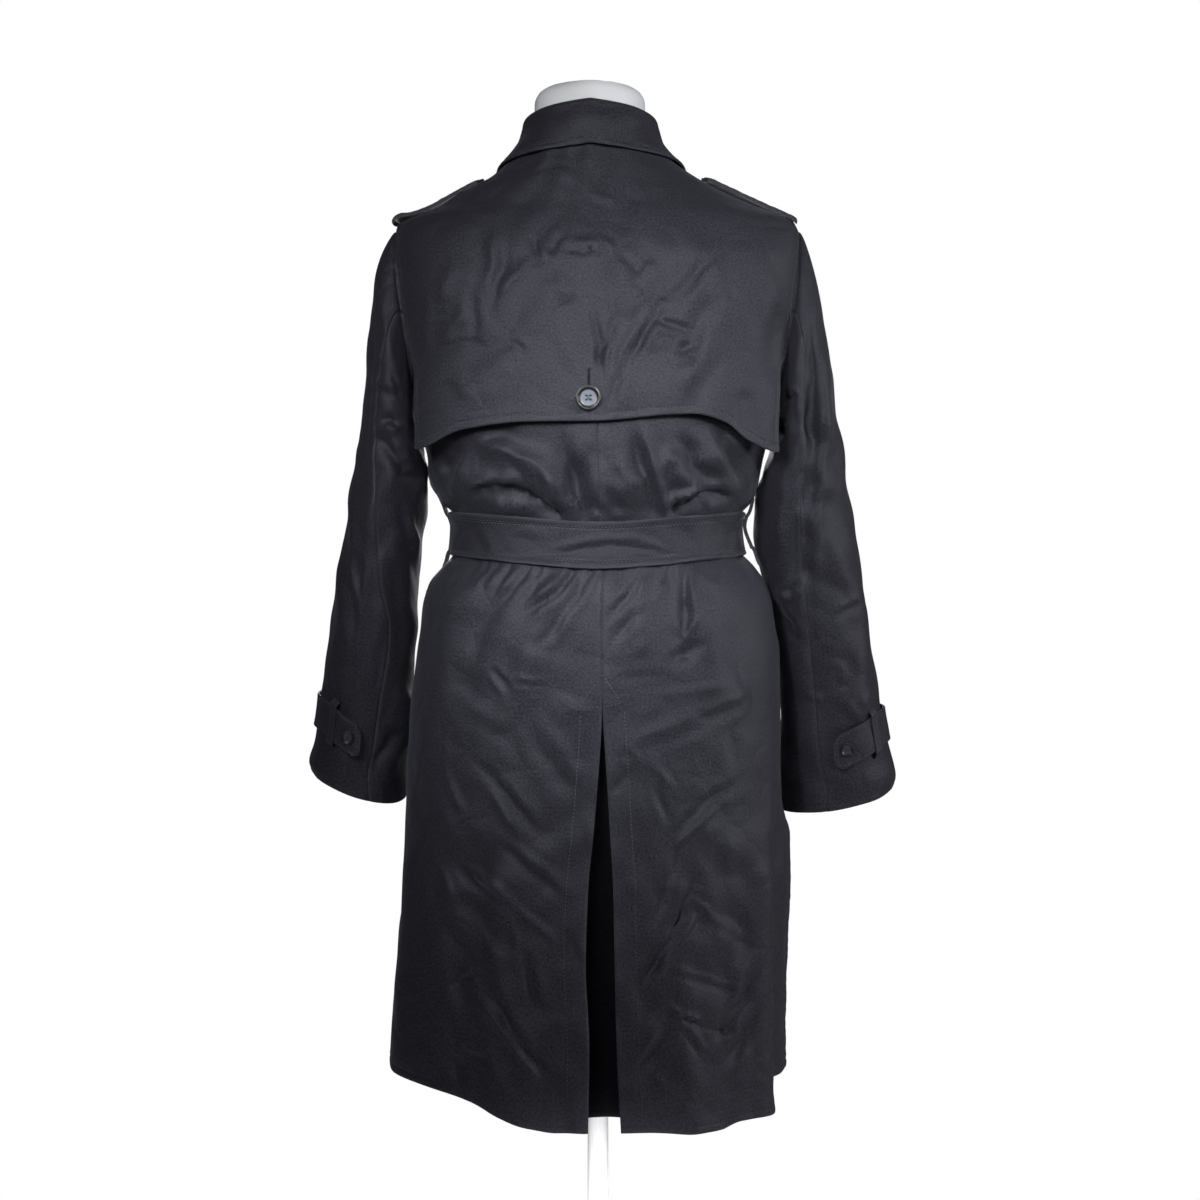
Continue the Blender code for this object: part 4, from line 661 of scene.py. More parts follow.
def edge_relief(kind, off, along, seed):
    """How cloth rises and dips beside one of its edges, by the way that edge is made."""
    if kind == "hidden":
        return np.zeros_like(off)

    def swell(height, width, middle=0.0):
        return height * bell(off, middle, width)

    wave = ripple(along, seed, PUCKER_LENGTH)
    if kind == "seam":
        return swell(*SEAM_DIP) + wave * swell(*SEAM_PUCKER)
    stitch = STITCH_AT[kind]
    puff = swell(PUFF, stitch * PUFF_WIDTH, stitch * 0.5) * (1 + PUFF_WAVE * wave)
    sewn = swell(*STITCH_GROOVE, stitch) + wave * swell(*STITCH_PUCKER, stitch)
    return swell(*EDGE_ROUND) + puff + sewn


FINE = [0.0, 0.0007, 0.0015, 0.0026, 0.0040, 0.0050, 0.0060, 0.0072, 0.0085, 0.0105, 0.013]


def spread(width, count):
    """Shares across a piece: fine steps near both edges, even ones between, for each row."""
    width = np.asarray(width, float)[:, None]
    scale = np.minimum(1.0, width / 0.060)
    near = np.array(FINE)[None, :] * scale / width
    middle = np.linspace(0, 1, count)[None, 1:-1]
    inner = near[:, -1:] + middle * (1 - 2 * near[:, -1:])
    return np.concatenate([near, inner, (1 - near)[:, ::-1]], axis=1)


def rows_from(low, high, step, fine_low=True, fine_high=True):
    """Heights from low to high: fine near the ends that show an edge, even between."""
    count = max(2, int(round((high - low) / step)))
    found = list(np.linspace(low, high, count + 1))
    if fine_low:
        found = [low + off for off in FINE] + [v for v in found if v > low + FINE[-1] + step * 0.4]
    if fine_high:
        end = [high - off for off in FINE][::-1]
        found = [v for v in found if v < high - FINE[-1] - step * 0.4] + end
    return np.array(found)


Stitched = namedtuple("Stitched", "start end low high")


def running_length(points, axis):
    """The length along the cloth up to each point of a grid, or of a line."""
    gaps = np.linalg.norm(np.diff(points, axis=axis), axis=-1)
    lengths = np.cumsum(gaps, axis=axis)
    pad = [(0, 0)] * lengths.ndim
    pad[axis] = (1, 0)
    return np.pad(lengths, pad)


WORN_WIDTH = 0.0035  # how far a worn edge's grey reaches
BOLT_STEP = 0.31  # pieces are cut from places of the bolt this far apart
BOLT_PLACES = 17


class Piece:
    """One cut piece of cloth: its grid, its lengths along the cloth, and its outer face."""

    def __init__(self, surface, u, v, hand, inside, thick, edges, seed, relief=None):
        base = surface(u, v)
        self.away = outward(surface, u, v, hand)
        self.across = running_length(base, 1)
        self.up = running_length(base, 0)
        across_left = self.across[:, -1:] - self.across
        up_left = self.up[-1:, :] - self.up
        rise = edge_relief(edges.start, self.across, self.up, seed)
        rise += edge_relief(edges.end, across_left, self.up, seed + 1)
        rise += edge_relief(edges.low, self.up, self.across, seed + 2)
        rise += edge_relief(edges.high, up_left, self.across, seed + 3)
        self.inner = base + self.away * np.broadcast_to(inside, u.shape)[..., None]
        outer = base + self.away * np.broadcast_to(inside + thick, u.shape)[..., None]
        if relief is not None:
            swell = relief(outer, u, v)
            rise += swell
            self.inner = self.inner + self.away * np.minimum(swell, 0.0)[..., None]
        self.outer = outer + self.away * rise[..., None]
        nearest = np.minimum(np.minimum(self.across, across_left), np.minimum(self.up, up_left))
        self.worn = np.exp(-nearest / WORN_WIDTH)
        self.middle = int(np.argmin(np.abs(u[len(u) // 2])))
        self.bolt_place = BOLT_STEP * (seed % BOLT_PLACES)

    def settle(self, node):
        """Move the piece to where its solid was seated."""
        low, high = (np.array(corner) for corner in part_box(node))
        both = np.concatenate([self.outer.reshape(-1, 3), self.inner.reshape(-1, 3)])
        step = (low + high - both.min(0) - both.max(0)) / 2
        self.inner = self.inner + step
        self.outer = self.outer + step


SHARP_ANGLE = math.radians(55)


def put(name, data):
    """A new object in the scene, at the origin."""
    thing = bpy.data.objects.new(name, data)
    bpy.context.collection.objects.link(thing)
    return thing


def close_shell(name, piece, finish):
    """A closed mesh from a piece's inner and outer faces, laid out in metres for its weave."""
    rows, columns = piece.inner.shape[:2]
    count = rows * columns
    index = np.arange(count).reshape(rows, columns)
    a, b, c, d = index[:-1, :-1], index[:-1, 1:], index[1:, 1:], index[1:, :-1]
    top = np.stack([a, b, c, d], -1).reshape(-1, 4)
    under = top[:, ::-1] + count
    rims = []
    for first, second in (
        (index[0, :-1], index[0, 1:]),
        (index[-1, 1:], index[-1, :-1]),
        (index[1:, 0], index[:-1, 0]),
        (index[:-1, -1], index[1:, -1]),
    ):
        rims.append(np.stack([second, first, first + count, second + count], -1))
    faces = np.concatenate([top, under, *rims])
    corners = np.concatenate([piece.outer.reshape(-1, 3), piece.inner.reshape(-1, 3)])
    mesh = bpy.data.meshes.new(name)
    mesh.from_pydata(corners.tolist(), [], faces.tolist())
    across = piece.across - piece.across[:, [piece.middle]] + piece.bolt_place
    up = piece.up - piece.up[[rows // 2]]
    flat = np.stack([across, up], -1).reshape(-1, 2)
    flat = np.concatenate([flat, flat])
    layer = mesh.uv_layers.new(name="cut")
    layer.data.foreach_set("uv", flat[faces.reshape(-1)].astype(np.float32).ravel())
    worn = mesh.attributes.new("worn", "FLOAT", "POINT")
    worn.data.foreach_set("value", np.tile(piece.worn.reshape(-1), 2).astype(np.float32))
    mesh.validate()
    if volume_of(corners, faces) < 0:
        mesh.flip_normals()
    mesh.shade_smooth()
    mesh.set_sharp_from_angle(angle=SHARP_ANGLE)
    mesh.materials.append(finish)
    return put(name, mesh)


def volume_of(corners, faces):
    """Six times the volume that four-cornered faces close in; below 0 where they point inwards."""
    a, b, c, d = (corners[faces[:, k]] for k in range(4))
    halves = (np.einsum("ij,ij->i", a, np.cross(*pair)) for pair in ((b, c), (c, d)))
    return float(sum(halves).sum())


def wear(thing, node):
    """The piece stands for its node and rides with the coat."""
    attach(thing, BODY_NAME)
    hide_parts(node)


# ---------------------------------------------------------------- stitching
TINY = 1e-9
STITCH_START = 0.15  # of a stitch's share of the row
STITCH_BENDS = (0.0, 0.18, 0.82, 1.0)
STITCH_SINK = 0.00002
STITCH_DIP, STITCH_LIFT = 0.6, 0.35  # of the thread's thickness, at its ends and middle


class Thread:
    """Collects stitches and makes them one object."""

    def __init__(self):
        self.corners = []
        self.faces = []

    def sew(self, line, away, length=0.0026, gap=0.0012, thick=0.00034):
        """Stitches along a line of points that lies on the cloth."""
        places = running_length(line, 0)
        total = places[-1]
        count = int(total / (length + gap))
        if count < 1:
            return
        for start in (np.arange(count) + STITCH_START) * total / count:
            ends = [start + length * share for share in STITCH_BENDS]
            if ends[-1] > total:
                break
            points = np.stack([np.interp(ends, places, line[:, k]) for k in range(3)], -1)
            normal = np.array([np.interp(ends[1], places, away[:, k]) for k in range(3)])
            normal /= max(np.linalg.norm(normal), TINY)
            along = points[3] - points[0]
            along /= max(np.linalg.norm(along), TINY)
            side = np.cross(normal, along)
            first = len(self.corners)
            sunk = normal * (STITCH_SINK + thick * STITCH_DIP)
            self.corners.append(points[0] - sunk)
            for k in (1, 2):
                middle = points[k] + normal * (thick * STITCH_LIFT)
                for out, up in ((1, 0), (0, 1), (-1, 0), (0, -1)):
                    self.corners.append(middle + side * out * thick + normal * up * thick)
            self.corners.append(points[3] - sunk)
            for k in range(4):
                j = (k + 1) % 4
                self.faces.append((first, first + 1 + j, first + 1 + k))
                self.faces.append((first + 1 + k, first + 1 + j, first + 5 + j, first + 5 + k))
                self.faces.append((first + 5 + k, first + 5 + j, first + 9))

    def done(self, name, finish):
        mesh = bpy.data.meshes.new(name)
        mesh.from_pydata([tuple(c) for c in self.corners], [], self.faces)
        mesh.validate()
        mesh.shade_smooth()
        mesh.materials.append(finish)
        thing = put(name, mesh)
        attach(thing, BODY_NAME)
        return thing


def line_at(piece, edge, off, trim=(0.0, 0.0)):
    """The outer face's points on the line that runs at a distance from one edge."""
    outer, away, reach = piece.outer, piece.away, piece.across
    if edge in ("low", "high"):
        outer, away, reach = outer.swapaxes(0, 1), away.swapaxes(0, 1), piece.up.T
    if edge in ("end", "high"):
        outer, away, reach = outer[:, ::-1], away[:, ::-1], (reach[:, -1:] - reach)[:, ::-1]
    line = cross_at(outer, reach, off)
    places = running_length(line, 0)
    keep = (places >= trim[0]) & (places <= places[-1] - trim[1])
    return line[keep], cross_at(away, reach, off)[keep]


DRAWN_STEP = 0.001
NEAREST = 5  # points of the cloth that carry one of a drawn line
NEAR_FIELD = 0.0003


def drawn_line(pieces, points):
    """A line drawn on the coat's back, laid on the outer faces of the pieces under it."""
    points = np.array(points, float)
    runs = running_length(points, 0)
    places = np.linspace(0, runs[-1], max(2, int(runs[-1] / DRAWN_STEP)))
    wanted = np.stack([np.interp(places, runs, points[:, k]) for k in (0, 1)], -1)
    outer = np.concatenate([piece.outer.reshape(-1, 3) for piece in pieces])
    away = np.concatenate([piece.away.reshape(-1, 3) for piece in pieces])
    seen = np.stack(drawn(outer), -1)
    line = []
    leans = []
    for target in wanted:
        gaps = np.linalg.norm(seen - target, axis=1)
        near = np.argpartition(gaps, NEAREST)[:NEAREST]
        weights = 1.0 / (gaps[near] + NEAR_FIELD)
        weights /= weights.sum()
        y = float((outer[near, 1] * weights).sum())
        share = VIEW_BACK / (VIEW_BACK - y)
        line.append((target[0] / share, y, VIEW_HEIGHT + (target[1] - VIEW_HEIGHT) / share))
        leans.append((away[near] * weights[:, None]).sum(0))
    return np.array(line), np.array(leans)


def cross_at(values, reach, off):
    """Each row's value where its reach equals off."""
    return np.array([
        [np.interp(off, lengths, row[:, k]) for k in range(3)]
        for row, lengths in zip(values, reach)
    ])


# ---------------------------------------------------------------- finishes
def new_finish(name):
    """An empty finish: its node tree, its shader, and a helper that adds a node."""
    finish = bpy.data.materials.new(name)
    finish.use_nodes = True
    tree = finish.node_tree
    shader = tree.nodes["Principled BSDF"]

    def add(kind, links=None, **settings):
        node = tree.nodes.new(kind)
        for key, value in settings.items():
            if key in node.inputs:
                node.inputs[key].default_value = value
            else:
                setattr(node, key, value)
        for key, source in (links or {}).items():
            tree.links.new(source, node.inputs[key])
        return node

    return finish, shader, add


def mix(add, share, first, second):
    """The colour between two colours, or between a colour's socket and a colour."""
    node = add("ShaderNodeMix", {"Factor": share}, data_type="RGBA")
    if isinstance(first, tuple):
        node.inputs[6].default_value = first + (1.0,)
    else:
        node.id_data.links.new(first, node.inputs[6])
    node.inputs[7].default_value = second + (1.0,)
    return node.outputs[2]


def ranged(add, value, low, high_to, high=1.0):
    """A value's socket spread over a range."""
    node = add("ShaderNodeMapRange", {"Value": value})
    for name, limit in (("From Max", high), ("To Min", low), ("To Max", high_to)):
        node.inputs[name].default_value = limit
    return node.outputs[0]


def noise(add, place, scale, detail, output=0, **settings):
    """A drifting pattern: its value, or with output 1 its colour."""
    node = add("ShaderNodeTexNoise", {"Vector": place}, Scale=scale, Detail=detail, **settings)
    return node.outputs[output]


def times(add, first, second):
    return add("ShaderNodeMath", {0: first, 1: second}, operation="MULTIPLY").outputs[0]


def bumped(add, layers):
    """Reliefs laid one on the other, each a height, a strength and a depth in metres."""
    normal = None
    for height, strength, depth in layers:
        links = {"Height": height}
        if normal:
            links["Normal"] = normal
        node = add("ShaderNodeBump", links, Strength=strength, Distance=depth)
        normal = node.outputs[0]
    return normal


TWILL_SCALE = 330.0  # one twill rib about every millimetre
CLOTH_DARK = (0.0118, 0.0117, 0.0162)
CLOTH_LIGHT = (0.0262, 0.0261, 0.0355)
CLOTH_RUBBED = (0.040, 0.040, 0.052)
TWILL_SLANT = math.radians(27)
CRUMPLE_SCALE = 27.0
CRUMPLE_BEND = (0.024, 0.024, 0.024)


def gabardine(name, depth=1.0):
    """Black cotton gabardine: a fine steep twill with a dry sheen, greyer where it rubs.

    Depth below 1 gives a darker copy of the cloth with less shine: painted shade.
    """
    finish, shader, add = new_finish(name)
    link = finish.node_tree.links.new
    cut = add("ShaderNodeUVMap", uv_map="cut").outputs[0]
    turned = add("ShaderNodeMapping", {"Vector": cut})
    turned.inputs["Rotation"].default_value = (0, 0, TWILL_SLANT)
    twill = add(
        "ShaderNodeTexWave", {"Vector": turned.outputs[0]}, wave_type="BANDS",
        bands_direction="X", Scale=TWILL_SCALE, Distortion=1.2, Detail=1.0,
    )
    twill.inputs["Detail Scale"].default_value = 2.0
    yarn = noise(add, cut, 900.0, 2.0)
    slub = noise(add, cut, 420.0, 2.0)
    cloud = noise(add, cut, 9.0, 3.0)
    rumple = noise(
        add, cut, 13.0, 3.0, noise_type="RIDGED_MULTIFRACTAL", Roughness=0.55, Distortion=0.6
    )
    waver = noise(add, cut, 26.0, 2.0, output=1)
    bent = add("ShaderNodeVectorMath", {0: waver, 2: cut}, operation="MULTIPLY_ADD")
    bent.inputs[1].default_value = CRUMPLE_BEND
    facet = add(
        "ShaderNodeTexVoronoi", {"Vector": bent.outputs[0]}, feature="DISTANCE_TO_EDGE",
        Scale=CRUMPLE_SCALE,
    ).outputs[0]
    crumple = times(add, facet, ranged(add, cloud, 0.0, 2.0))
    grain = times(add, twill.outputs[1], yarn)
    weave = mix(add, ranged(add, grain, 0.0, 1.0, high=0.55), CLOTH_DARK, CLOTH_LIGHT)
    cloudy = ranged(add, cloud, 0.86 * depth, 1.14 * depth)
    tinted = add("ShaderNodeVectorMath", {0: weave}, operation="SCALE")
    link(times(add, cloudy, ranged(add, slub, 0.20, 1.80)), tinted.inputs["Scale"])
    worn = add("ShaderNodeAttribute", attribute_name="worn").outputs["Fac"]
    rubbed = mix(add, times(add, worn, cloud), tinted.outputs[0], CLOTH_RUBBED)
    link(rubbed, shader.inputs["Base Color"])
    reliefs = [
        (twill.outputs[1], 0.22, 0.00025), (slub, 0.45, 0.0007), (rumple, 0.42, 0.0022),
        (crumple, 0.42, 0.0050),
    ]
    link(bumped(add, reliefs), shader.inputs["Normal"])
    link(ranged(add, slub, 0.46, 0.74), shader.inputs["Roughness"])
    link(ranged(add, slub, 0.10 * depth, 0.80 * depth), shader.inputs["Specular IOR Level"])
    shader.inputs["Specular Tint"].default_value = (0.84, 0.84, 1.0, 1.0)
    shader.inputs["Sheen Weight"].default_value = 0.10
    shader.inputs["Sheen Roughness"].default_value = 0.45
    shader.inputs["Sheen Tint"].default_value = (0.80, 0.84, 1.0, 1.0)
    return finish


def drifting(name, shades, drift, rough, marks=None, relief=None, more=()):
    """A finish in two shades that drift over the piece.

    Drift is the drift's scale and detail. Rough is one roughness, or the range that the drift
    takes it through, or that a second drift named marks does. Relief is a texture's kind, scale
    and detail, its strength and its depth. More names other sockets of the shader.
    """
    finish, shader, add = new_finish(name)
    link = finish.node_tree.links.new
    place = add("ShaderNodeTexCoord").outputs["Object"]
    drifted = noise(add, place, *drift)
    link(mix(add, drifted, *shades), shader.inputs["Base Color"])
    if relief:
        kind, scale, detail, strength, depth = relief
        grain = add(kind, {"Vector": place}, Scale=scale, Detail=detail).outputs[0]
        link(bumped(add, [(grain, strength, depth)]), shader.inputs["Normal"])
    if isinstance(rough, tuple):
        value = noise(add, place, *marks) if marks else drifted
        link(ranged(add, value, *rough), shader.inputs["Roughness"])
    else:
        shader.inputs["Roughness"].default_value = rough
    for socket, value in more:
        shader.inputs[socket].default_value = value
    return finish


CLOTH_FINISH = gabardine("gabardine")
# The pleat's underlay: the same cloth darkened almost to black, painted shade inside the pleat.
PLEAT_PAINTED_SHADE_FINISH = gabardine("gabardine_painted_shade", 0.18)  # it reads almost black
# The belt: the same cloth a little darker and less shiny, painted shade against the light that
# falls on it.
BELT_PAINTED_SHADE_FINISH = gabardine("gabardine_belt_painted_shade", 0.82)
TWIST = (2500.0, 1.0)
# Sewing thread, lighter than the black cloth: its own dark grey, lightened by a painted highlight
# along the stitches.
THREAD = drifting("sewing_thread", ((0.036, 0.036, 0.045), (0.085, 0.085, 0.098)), TWIST, 0.42)
BUTTONHOLE_THREAD = drifting(
    "buttonhole_thread", ((0.0015, 0.0015, 0.002), (0.004, 0.004, 0.005)), TWIST, 0.42
)
# White stretch jersey: tiny knit loops, soft and matt.
JERSEY = drifting(
    "jersey", ((0.93, 0.95, 0.98), (0.96, 0.98, 1.0)), (14.0, 2.0), 0.70,
    relief=("ShaderNodeTexVoronoi", 700.0, 0.0, 0.10, 0.0002), more=[("Sheen Weight", 0.10)],
)
# Glossy black moulded plastic with faint swirls and fine handling marks.
MOULDED = drifting(
    "button_black", ((0.006, 0.006, 0.007), (0.016, 0.016, 0.018)), (160.0, 4.0), (0.28, 0.42),
    marks=(900.0, 2.0), more=[("Coat Weight", 0.6), ("Coat Roughness", 0.08)],
)
# The dished middle of each size of button, coloured a pale blue-grey: a painted reflection on the
# black plastic.
PAINTED_REFLECTION_FINISHES = {
    size: drifting(size + "_button_painted_reflection", shades, (420.0, 3.0), (0.34, 0.50))
    for size, shades in (
        ("large", ((0.10, 0.115, 0.15), (0.20, 0.23, 0.30))),
        ("small", ((0.02, 0.023, 0.03), (0.07, 0.08, 0.11))),
    )
}
# Black leather stretched over the buckle: fine pebble grain, rubbed in places.
LEATHER = drifting(
    "covered_leather", ((0.007, 0.007, 0.008), (0.022, 0.021, 0.022)), (60.0, 3.0), (0.32, 0.52),
    relief=("ShaderNodeTexVoronoi", 750.0, 0.0, 0.35, 0.0004),
)
# Satin white lacquer with a faint orange-peel.
LACQUER = drifting(
    "white_lacquer", ((0.80, 0.80, 0.82), (0.87, 0.87, 0.88)), (8.0, 3.0), 0.65,
    relief=("ShaderNodeTexNoise", 220.0, 1.0, 0.05, 0.0003), more=[("Specular IOR Level", 0.2)],
)


def make_cloth(node, piece, stitches=(), finish=CLOTH_FINISH):
    """Close a piece, hang it in its node's place, and sew its rows of stitches."""
    thing = close_shell("cloth_" + node, piece, finish)
    wear(thing, node)
    if stitches:
        thread = Thread()
        for edge, off, trim in stitches:
            thread.sew(*line_at(piece, edge, off, trim))
        thread.done("stitches_" + node, THREAD)


def ruled(rows, start, end, shares):
    """A grid whose rows run from a start to an end by shares, with each row's own key."""
    turns = blend(np.reshape(start, (-1, 1)), np.reshape(end, (-1, 1)), shares)
    return turns, np.broadcast_to(rows[:, None], turns.shape).copy()


def body_grid(rows, span, columns):
    """Turns and heights of a body piece whose rows run between two turns."""
    return ruled(rows, *span(rows), spread(arc_width(rows, span), columns))


def arc_width(rows, span):
    """Rough width of each row along the cloth."""
    start, end = span(rows)
    share = np.linspace(0, 1, 9)[None, :]
    points = body_face(blend(start[:, None], end[:, None], share), rows[:, None] + 0 * share)
    return np.linalg.norm(np.diff(points, axis=1), axis=-1).sum(1)


def swells(turn, height, seed, length, depth):
    """Uneven swells round the body."""
    return depth * mottle(np.radians(turn) * GIRTH, height, seed, length)


def back_relief(point, turn, height):
    """The back's creases, flat under the storm flap and fainter beside the skirt's edges."""
    across, up = drawn(point)
    covered = ease((height - 1.175) / 0.03)
    rise = crease_depth(BACK_CREASES, across, up)
    rise += swells(turn, height, seed=40, length=0.060, depth=0.0006)
    low = ease((0.90 - height) / 0.25)
    rise += low * swells(turn, height, seed=41, length=0.034, depth=0.0008)
    beside = ease((np.abs(across) - 0.150) / 0.020) * ease((1.0 - height) / 0.05)
    rise *= 1 - 0.75 * beside
    return rise * (1 - covered) - 0.0004 * covered


# Rows of stitches that hold the pleat's top: across and up, on the drawing of the back.
PLEAT_STAY = [
    [(-0.0048, 0.9003), (0.0199, 0.8656)],
    [(-0.0048, 0.9003), (-0.0242, 0.8698)],
    [(0.0199, 0.8656), (-0.0042, 0.8652), (-0.0242, 0.8698)],
]


def make_backs():
    pieces = []
    for side, word in SIDES:
        def span(rows, side=side):
            edge = CENTRE_BACK.at(rows)
            x = edge.left if side > 0 else edge.right
            centre = np.degrees(np.arctan2(x, BODY.at(rows).back)) + side * half_seam(rows)
            return centre, side * (armhole_turn(rows, side, 1) - half_seam(rows))

        rows = rows_from(HEM_BACK, NECK_HEIGHT, 0.0034)
        u, v = body_grid(rows, span, 96)
        edges = Stitched("seam", "seam", "hem", "hidden")
        piece = Piece(body_face, u, v, ROUND_BODY, 0.0, CLOTH, edges, 11 + side, back_relief)
        level = np.searchsorted(rows, PLEAT_STAY[2][0][1])
        above = piece.up[-1, 0] - piece.up[level, 0]
        make_cloth("back_" + word, piece, [("start", 0.0215, (0.004, above))])
        pieces.append(piece)
    thread = Thread()
    for line in PLEAT_STAY:
        thread.sew(*drawn_line(pieces, line))
    thread.done("stitches_pleat_stay", THREAD)


def make_underlay():
    rows = rows_from(HEM_BACK + UNDERLAY_HEM, PLEAT_TOP, 0.010)
    turns = np.linspace(-UNDERLAY_HALF_TURN, UNDERLAY_HALF_TURN, 44)
    u, v = np.meshgrid(turns, rows)
    open_share = ease((PLEAT_TOP - v) / UNDERLAY_OPENS)
    dip = 2 * LIE + UNDERLAY_DIP * open_share * bell(u, *UNDERLAY_FOLD)
    inside = UNDERLAY_SEAT - dip - CLOTH
    edges = Stitched("hidden", "hidden", "hem", "hidden")
    piece = Piece(body_face, u, v, ROUND_BODY, inside, CLOTH, edges, 21)
    # Its finish is the cloth darkened almost to black: painted shade inside the pleat.
    make_cloth("pleat_underlay", piece, finish=PLEAT_PAINTED_SHADE_FINISH)


SEATS = [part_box(node) for node in NODES if node.startswith("front_button")]


SEAT_EDGE = 0.003
SEAT_STEP = 0.015


def flat_at_seats(point):
    """Nothing below a front button and 1 a little way off it."""
    share = 1.0
    for low, high in SEATS:
        middle = (np.array(low) + np.array(high)) / 2
        away = np.linalg.norm(point - middle, axis=-1)
        share = share * ease((away - (high[2] - low[2]) / 2 - SEAT_EDGE) / SEAT_STEP)
    return share


def front_relief(point, turn, height):
    """The front's creases, flat below the buttons and fainter beside the arms."""
    rise = crease_depth(FRONT_CREASES, np.radians(turn) * GIRTH, height)
    rise += swells(turn, height, seed=50, length=0.065, depth=0.0006)
    low = ease((0.92 - height) / 0.2)
    rise += low * swells(turn, height, seed=51, length=0.036, depth=0.0007)
    rise *= flat_at_seats(point)
    return rise * (1 - 0.8 * ease((110.0 - np.abs(turn)) / 20.0))


def make_fronts():
    for side, word in SIDES:
        def span(rows, side=side):
            seam = side * (armhole_turn(rows, side, -1) + half_seam(rows))
            return seam, side * roll_turn(rows)

        u, v = body_grid(rows_from(HEM_BACK, NECK_HEIGHT, 0.0075), span, 60)
        inside = upper_stand(u) if side < 0 else np.zeros_like(u)
        edges = Stitched("seam", "edge", "hem", "hidden")
        piece = Piece(body_face, u, v, ROUND_BODY, inside, CLOTH, edges, 31 + side, front_relief)
        make_cloth("front_" + word, piece, [("end", 0.006, (0.002, 0.002))])


LAPEL_LOWS = {1: 1.262, -1: 1.212}  # where each lapel starts


def make_lapels():
    for side, word in SIDES[::-1]:
        rows = rows_from(LAPEL_LOWS[side], LAPEL_TOP_HEIGHT, 0.006)
        roll = roll_turn(rows)
        free = roll - lapel_width(rows)
        if side > 0:
            roll = np.minimum(roll, 360.0 - roll - 1.0)
        width = np.radians(np.abs(roll - free)) * LAPEL_ARM
        u, v = ruled(rows, side * roll, side * free, spread(width, 14))
        inside = LAPEL_STAND + (upper_stand(u) if side < 0 else 0.0)
        edges = Stitched("hidden", "edge", "edge", "edge")
        piece = Piece(body_face, u, v, ROUND_BODY, inside, CLOTH, edges, 61 + side)
        stitches = [("end", 0.006, (0.006, 0.006)), ("high", 0.006, (0.002, 0.006))]
        make_cloth("lapel_" + word, piece, stitches)


def flap_relief(point, turn, height):
    rise = crease_depth(FLAP_CREASES, *drawn(point))
    return rise + swells(turn, height, seed=70, length=0.060, depth=0.0005)


# The flap's buttonhole: its two sides and the bar at its top.
BUTTONHOLE = [
    [(0.0089, 1.2195), (0.0089, 1.2010)],
    [(0.0101, 1.2195), (0.0101, 1.2010)],
    [(0.0068, 1.2203), (0.0122, 1.2206)],
]


def make_storm_flap():
    def edge(height, side):
        sewn = armhole_turn(height, side, 1) - half_seam(height)
        return np.where(height >= FLAP_JOIN, sewn, FLAP_EDGE.at(height).turn)

    def height_of(level, turn):
        low = FLAP_HEM.at(turn).height
        return np.where(level < 1, blend(low, FLAP_LEVEL, level), FLAP_LEVEL + level - 1.0)

    drop = FLAP_LEVEL - FLAP_HEM_MEAN
    levels = rows_from(0.0, drop, 0.0032, fine_high=False) / drop
    upper = rows_from(FLAP_LEVEL, FLAP_TOP, 0.0036, fine_low=False) - FLAP_LEVEL + 1.0
    levels = np.concatenate([levels[:-1], upper])
    heights = height_of(levels, np.full_like(levels, FLAP_HEM_TURN))
    turns, _ = body_grid(heights, lambda high: (-edge(high, -1), edge(high, 1)), 150)
    v = height_of(np.broadcast_to(levels[:, None], turns.shape), turns)
    edges = Stitched("edge", "edge", "hem", "hidden")
    piece = Piece(flap_face, turns, v, ROUND_BODY, 0.0, CLOTH, edges, 71, flap_relief)
    sides = [(edge, 0.006, (0.007, 0.0)) for edge in ("start", "end")]
    stitches = [("low", 0.0072, (0.006, 0.006)), *sides]
    make_cloth("storm_flap", piece, stitches)
    thread = Thread()
    for line in BUTTONHOLE:
        thread.sew(*drawn_line([piece], line), length=0.0013, gap=0.0001, thick=0.00085)
    thread.done("stitches_buttonhole", BUTTONHOLE_THREAD)


def fall_relief(point, turn, share):
    arm = 0.07
    swell = 0.0005 * mottle(np.radians(turn) * arm, share * arm, 83, 0.040)
    return swell * ease(share * 3) + crease_depth(COLLAR_CREASES, *drawn(point))


def make_collar():
    turns = np.linspace(-COLLAR_TURN, COLLAR_TURN, 150)
    u, v = np.meshgrid(turns, np.linspace(0, 1, 12))
    piece = Piece(stand_face, u, v, STAND_HAND, 0.0, CLOTH, Stitched(*["hidden"] * 4), 81)
    make_cloth("collar_stand", piece)
    end = 1 - np.array(FINE[::-1]) / COLLAR_LENGTH
    shares = np.concatenate([[0, 0.02, 0.04, 0.06, 0.09, 0.12], np.linspace(0.16, 0.80, 18), end])
    u, v = np.meshgrid(turns, shares)
    edges = Stitched("edge", "edge", "hidden", "edge")
    piece = Piece(fall_face, u, v, COLLAR_HAND, 0.0, CLOTH, edges, 82, fall_relief)
    ends = [(edge, 0.006, (0.002, 0.006)) for edge in ("start", "end")]
    stitches = [("high", 0.006, (0.006, 0.006)), *ends]
    make_cloth("collar_fall", piece, stitches)


def sleeve_relief(side):
    """A sleeve's creases: those seen from behind on its back, others round its front."""
    def relief(point, turn, along):
        behind = ease((np.sin(np.radians(turn)) + 0.25) / 0.5)
        rise = crease_depth(SLEEVE_CREASES[side], *drawn(point)) * behind
        girth = np.radians(turn) * SLEEVE_GIRTH
        run = along * SLEEVE_LENGTH
        rise += crease_depth(SLEEVE_FRONT_CREASES, girth, run) * (1 - behind)
        rise += 0.0007 * mottle(girth, run, 90 + side, 0.045)
        return rise * ease((along - 0.02) / 0.08)
    return relief


